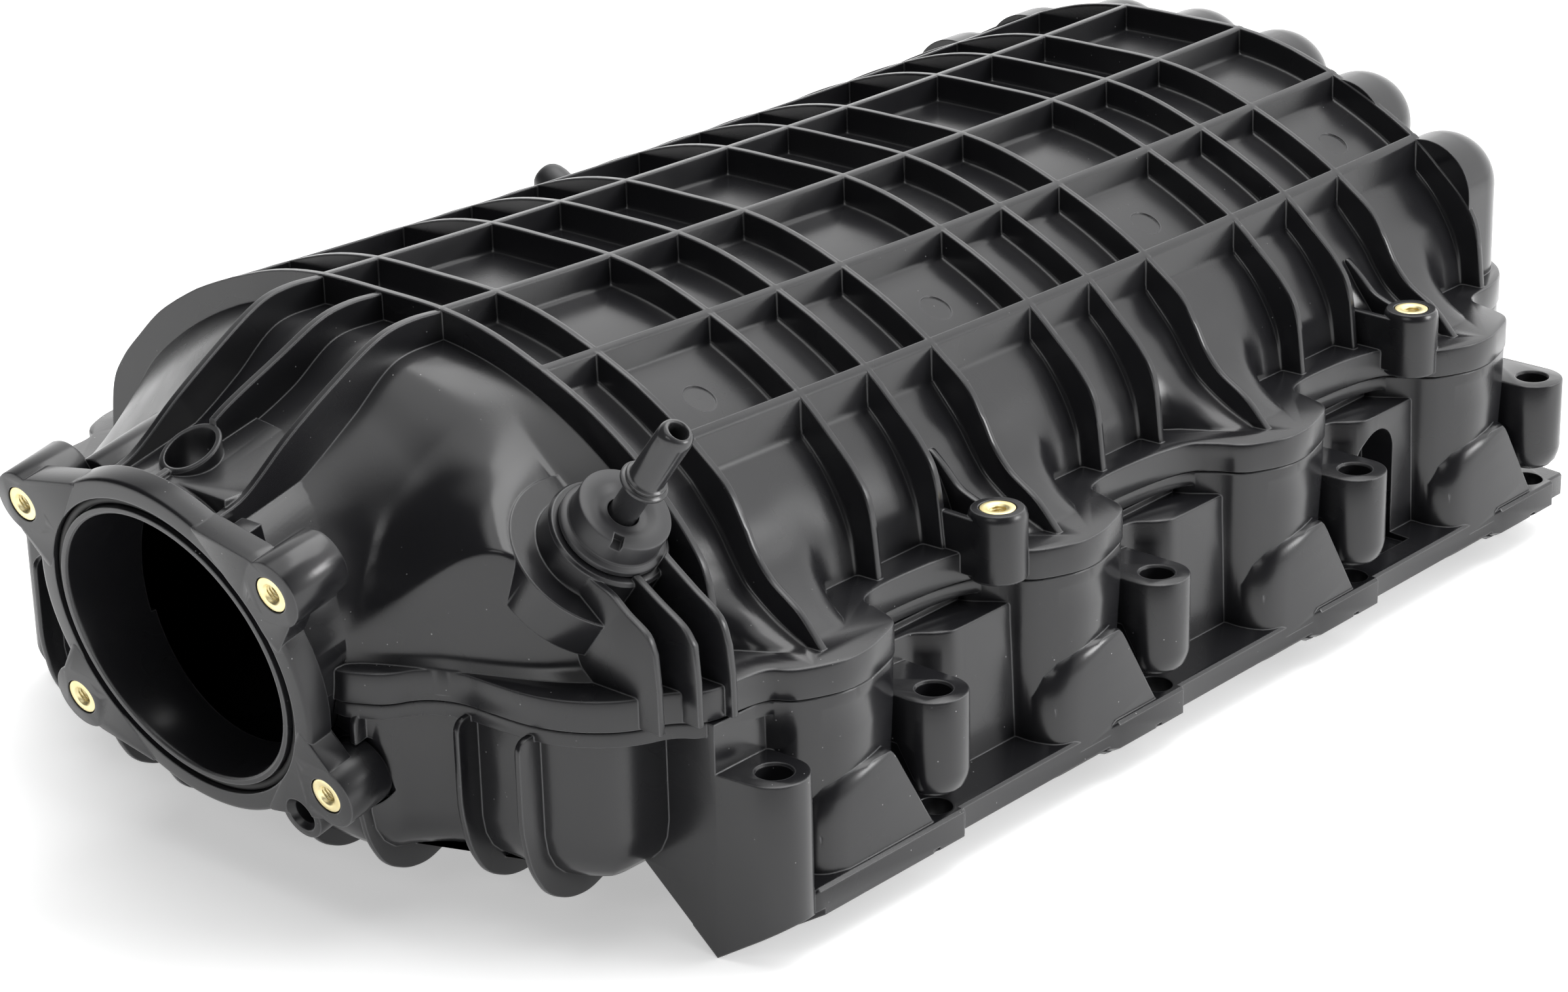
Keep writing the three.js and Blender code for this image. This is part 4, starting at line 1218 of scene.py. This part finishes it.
def dust_specks(nodes, links, where):
    """Small specks, gathered in patches."""
    dots = nodes.new("ShaderNodeTexVoronoi")
    dots.inputs["Scale"].default_value = 210
    links.new(where.outputs["Object"], dots.inputs["Vector"])
    speck = spread(nodes, links, dots.outputs["Distance"], 0.055, 0.035, 0.0, 1.0)
    _, patch = link_noise(nodes, links, 9)
    some = spread(nodes, links, patch.outputs["Fac"], 0.52, 0.66, 0.0, 0.55)
    return link_pair(nodes, links, "ShaderNodeMath", "MULTIPLY", speck, some).outputs[0]


def plastic(name, dark, pale, rough, dust=True, grain=1.0):
    """Moulded black plastic: satin, slightly uneven, paler along its edges with a painted highlight and
    some wear, with a little dust.
    """
    material, nodes, links, shader = new_material(name)
    where, cloud = link_noise(nodes, links, 22)
    uneven = spread(nodes, links, cloud.outputs["Fac"], 0.35, 0.7, rough - 0.05, rough + 0.09)
    links.new(uneven, shader.inputs["Roughness"])
    bevel = nodes.new("ShaderNodeBevel")
    bevel.samples = 4
    bevel.inputs["Radius"].default_value = 0.0007
    # Painted highlight with some wear: the colour turns pale along every sharp edge.
    colour = mix_colours(nodes, links, edge_wear_and_highlight(nodes, links, bevel), dark, pale)
    if dust:
        specks = dust_specks(nodes, links, where)
        colour = mix_colours(nodes, links, specks, colour, (0.55, 0.55, 0.55, 1))
    links.new(colour, shader.inputs["Base Color"])
    _, fine = link_noise(nodes, links, 900, 2)
    bump_node = nodes.new("ShaderNodeBump")
    set_inputs(bump_node, {"Strength": 0.06 * grain, "Distance": 0.0002})
    links.new(fine.outputs["Fac"], bump_node.inputs["Height"])
    links.new(bevel.outputs["Normal"], bump_node.inputs["Normal"])
    links.new(bump_node.outputs["Normal"], shader.inputs["Normal"])
    shader.inputs["Specular IOR Level"].default_value = 0.55
    return material


def metal(name, light, dark, rough, scale):
    material, nodes, links, shader = new_material(name)
    _, cloud = link_noise(nodes, links, scale, 4)
    share = spread(nodes, links, cloud.outputs["Fac"], 0.3, 0.7, 0.0, 1.0)
    links.new(mix_colours(nodes, links, share, light, dark), shader.inputs["Base Color"])
    uneven = spread(nodes, links, cloud.outputs["Fac"], 0.3, 0.7, rough, rough + 0.12)
    links.new(uneven, shader.inputs["Roughness"])
    shader.inputs["Metallic"].default_value = 1.0
    return material


def grey(value, blue=0.0):
    return (value, value, value + blue, 1)


# In each plastic the second colour is its pale edge tone, a painted highlight with some wear.
LOOKS = {name: look(name, *values) for name, look, *values in (
    ("black_plastic", plastic, grey(0.012, 0.0015), grey(0.16, 0.005), 0.23),
    ("cap_plastic", plastic, grey(0.022, 0.002), grey(0.14, 0.005), 0.42, False),
    ("nipple_gloss", plastic, grey(0.03, 0.002), grey(0.10), 0.16, False, 0.3),
    ("brass", metal, (1.0, 0.90, 0.56, 1), (0.92, 0.78, 0.40, 1), 0.38, 160),
    ("seal_rubber", plastic, grey(0.012), grey(0.05), 0.62, False, 1.5),
    ("sleeve_steel", metal, grey(0.62, 0.01), grey(0.42, 0.02), 0.28, 240),
)}
SLOT_OF = {part["node"]: part["material_slot"] for part in frame["record"]["subparts"]}


def dress(piece, node):
    """Gives a piece its material, smooth faces and place in the frame."""
    name = SLOT_OF[node]
    piece.data.materials.clear()
    piece.data.materials.append(LOOKS[name])
    piece.data.shade_smooth()
    piece.data.set_sharp_from_angle(angle=math.radians(34))
    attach(piece, "root")
    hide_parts(node)


# ---- Assembly ----


def build():
    dress(upper_shell(), "upper_shell")
    dress(lower_shell(), "lower_shell")
    dress(vacuum_cap(), "vacuum_port_cap")
    dress(vacuum_nipple(), "vacuum_port_nipple")
    dress(side_tube(), "side_port_tube")
    dress(throttle_seal(), "throttle_seal")
    for i, (u, v) in enumerate(BOLT_PLACES, 1):
        dress(threaded_insert(f"throttle_insert_piece_{i}", on_throttle(u, v)), f"throttle_insert_{i}")
    for i, (x, y) in enumerate(COVER_PLACES, 1):
        dress(threaded_insert(f"cover_insert_piece_{i}", at(x, y, COVER_TOP)), f"cover_insert_{i}")
    band = [(0.15, -2.2), (0.85, -2.2), (0.85, 0.1), (0.7, 0.4), (0.5, 0.5), (0.3, 0.4), (0.15, 0.1)]
    for word, side in (("right", 1), ("left", -1)):
        for k in range(CYLINDERS):
            name = f"port_seal_{word}_{k + 1}"
            dress(seal_loop(f"{name}_piece", side, k, SEAL_NEAR, SEAL_FAR, band), name)
        for i, y in enumerate(BOLT_Y, 1):
            name = f"bolt_sleeve_{word}_{i}"
            dress(bolt_sleeve(f"{name}_piece", side, y), name)
    inner = frame["nodes"]["inner_runner_shell"]
    inner.data.materials.clear()
    inner.data.materials.append(LOOKS["black_plastic"])


# ---- Studio ----


def floor():
    """Wide pale floor at the lowest point of the part, faintly bright so that its shadows stay soft."""
    size = 6.0
    mesh = bpy.data.meshes.new("floor")
    z = CAD_BOX[0][2]
    corners = [(-size, -size, z), (size, -size, z), (size, size, z), (-size, size, z)]
    mesh.from_pydata(corners, [], [(0, 1, 2, 3)])
    plane = add_object("floor", mesh)
    material, _, _, shader = new_material("floor_white")
    set_inputs(shader, {
        "Base Color": grey(0.93), "Roughness": 0.7, "Emission Color": grey(1.0), "Emission Strength": 0.45,
    })
    mesh.materials.append(material)


def area_light(name, place, aim, size, power):
    light = bpy.data.lights.new(name, "AREA")
    light.shape = "RECTANGLE"
    light.size, light.size_y = size
    light.energy = power
    lamp = add_object(name, light)
    lamp.location = place
    lamp.rotation_euler = (Vector(aim) - Vector(place)).to_track_quat("-Z", "Y").to_euler()


def sky():
    """Bright behind and overhead, dark towards the front, as in a studio with a white sweep."""
    world = bpy.data.worlds.new("studio")
    world.use_nodes = True
    nodes, links = world.node_tree.nodes, world.node_tree.links
    where = nodes.new("ShaderNodeTexCoord")
    split = nodes.new("ShaderNodeSeparateXYZ")
    links.new(where.outputs["Generated"], split.inputs["Vector"])
    nodes["Background"].inputs["Color"].default_value = (1, 1, 1, 1)
    back = spread(nodes, links, split.outputs["Y"], -0.1, 0.5, 0.03, 1.7)
    over = spread(nodes, links, split.outputs["Z"], 0.8, 0.93, 0.0, 1.8)
    most = link_pair(nodes, links, "ShaderNodeMath", "MAXIMUM", back, over)
    links.new(most.outputs[0], nodes["Background"].inputs["Strength"])
    bpy.context.scene.world = world


def studio():
    floor()
    sky()
    area_light("top", (0.1, 0.6, 1.9), (0, 0.05, 0.1), (1.7, 1.1), 16)
    area_light("right", (1.7, 0.9, 0.8), (0, 0, 0.08), (0.7, 0.5), 12)
    area_light("front", (0.6, -2.2, 1.6), (0, -0.2, 0), (1.4, 0.5), 6)
    bpy.context.scene.view_settings.view_transform = "Standard"


def camera():
    across, along = math.cos(CAMERA_AZIMUTH), math.sin(CAMERA_AZIMUTH)
    level = math.cos(CAMERA_ELEVATION)
    back = Vector((along * level, -across * level, math.sin(CAMERA_ELEVATION)))
    right = Vector((across, along, 0))
    up = back.cross(right)
    turned_right = right * math.cos(CAMERA_ROLL) + up * math.sin(CAMERA_ROLL)
    turned_up = up * math.cos(CAMERA_ROLL) - right * math.sin(CAMERA_ROLL)
    data = bpy.data.cameras.new("camera")
    data.lens = CAMERA_LENS
    data.sensor_width = CAMERA_SENSOR
    eye = add_object("camera", data)
    turn = Matrix((turned_right, turned_up, back)).transposed().to_4x4()
    eye.matrix_world = Matrix.Translation(Vector(CAMERA_PLACE)) @ turn
    bpy.context.scene.camera = eye


build()
studio()
camera()
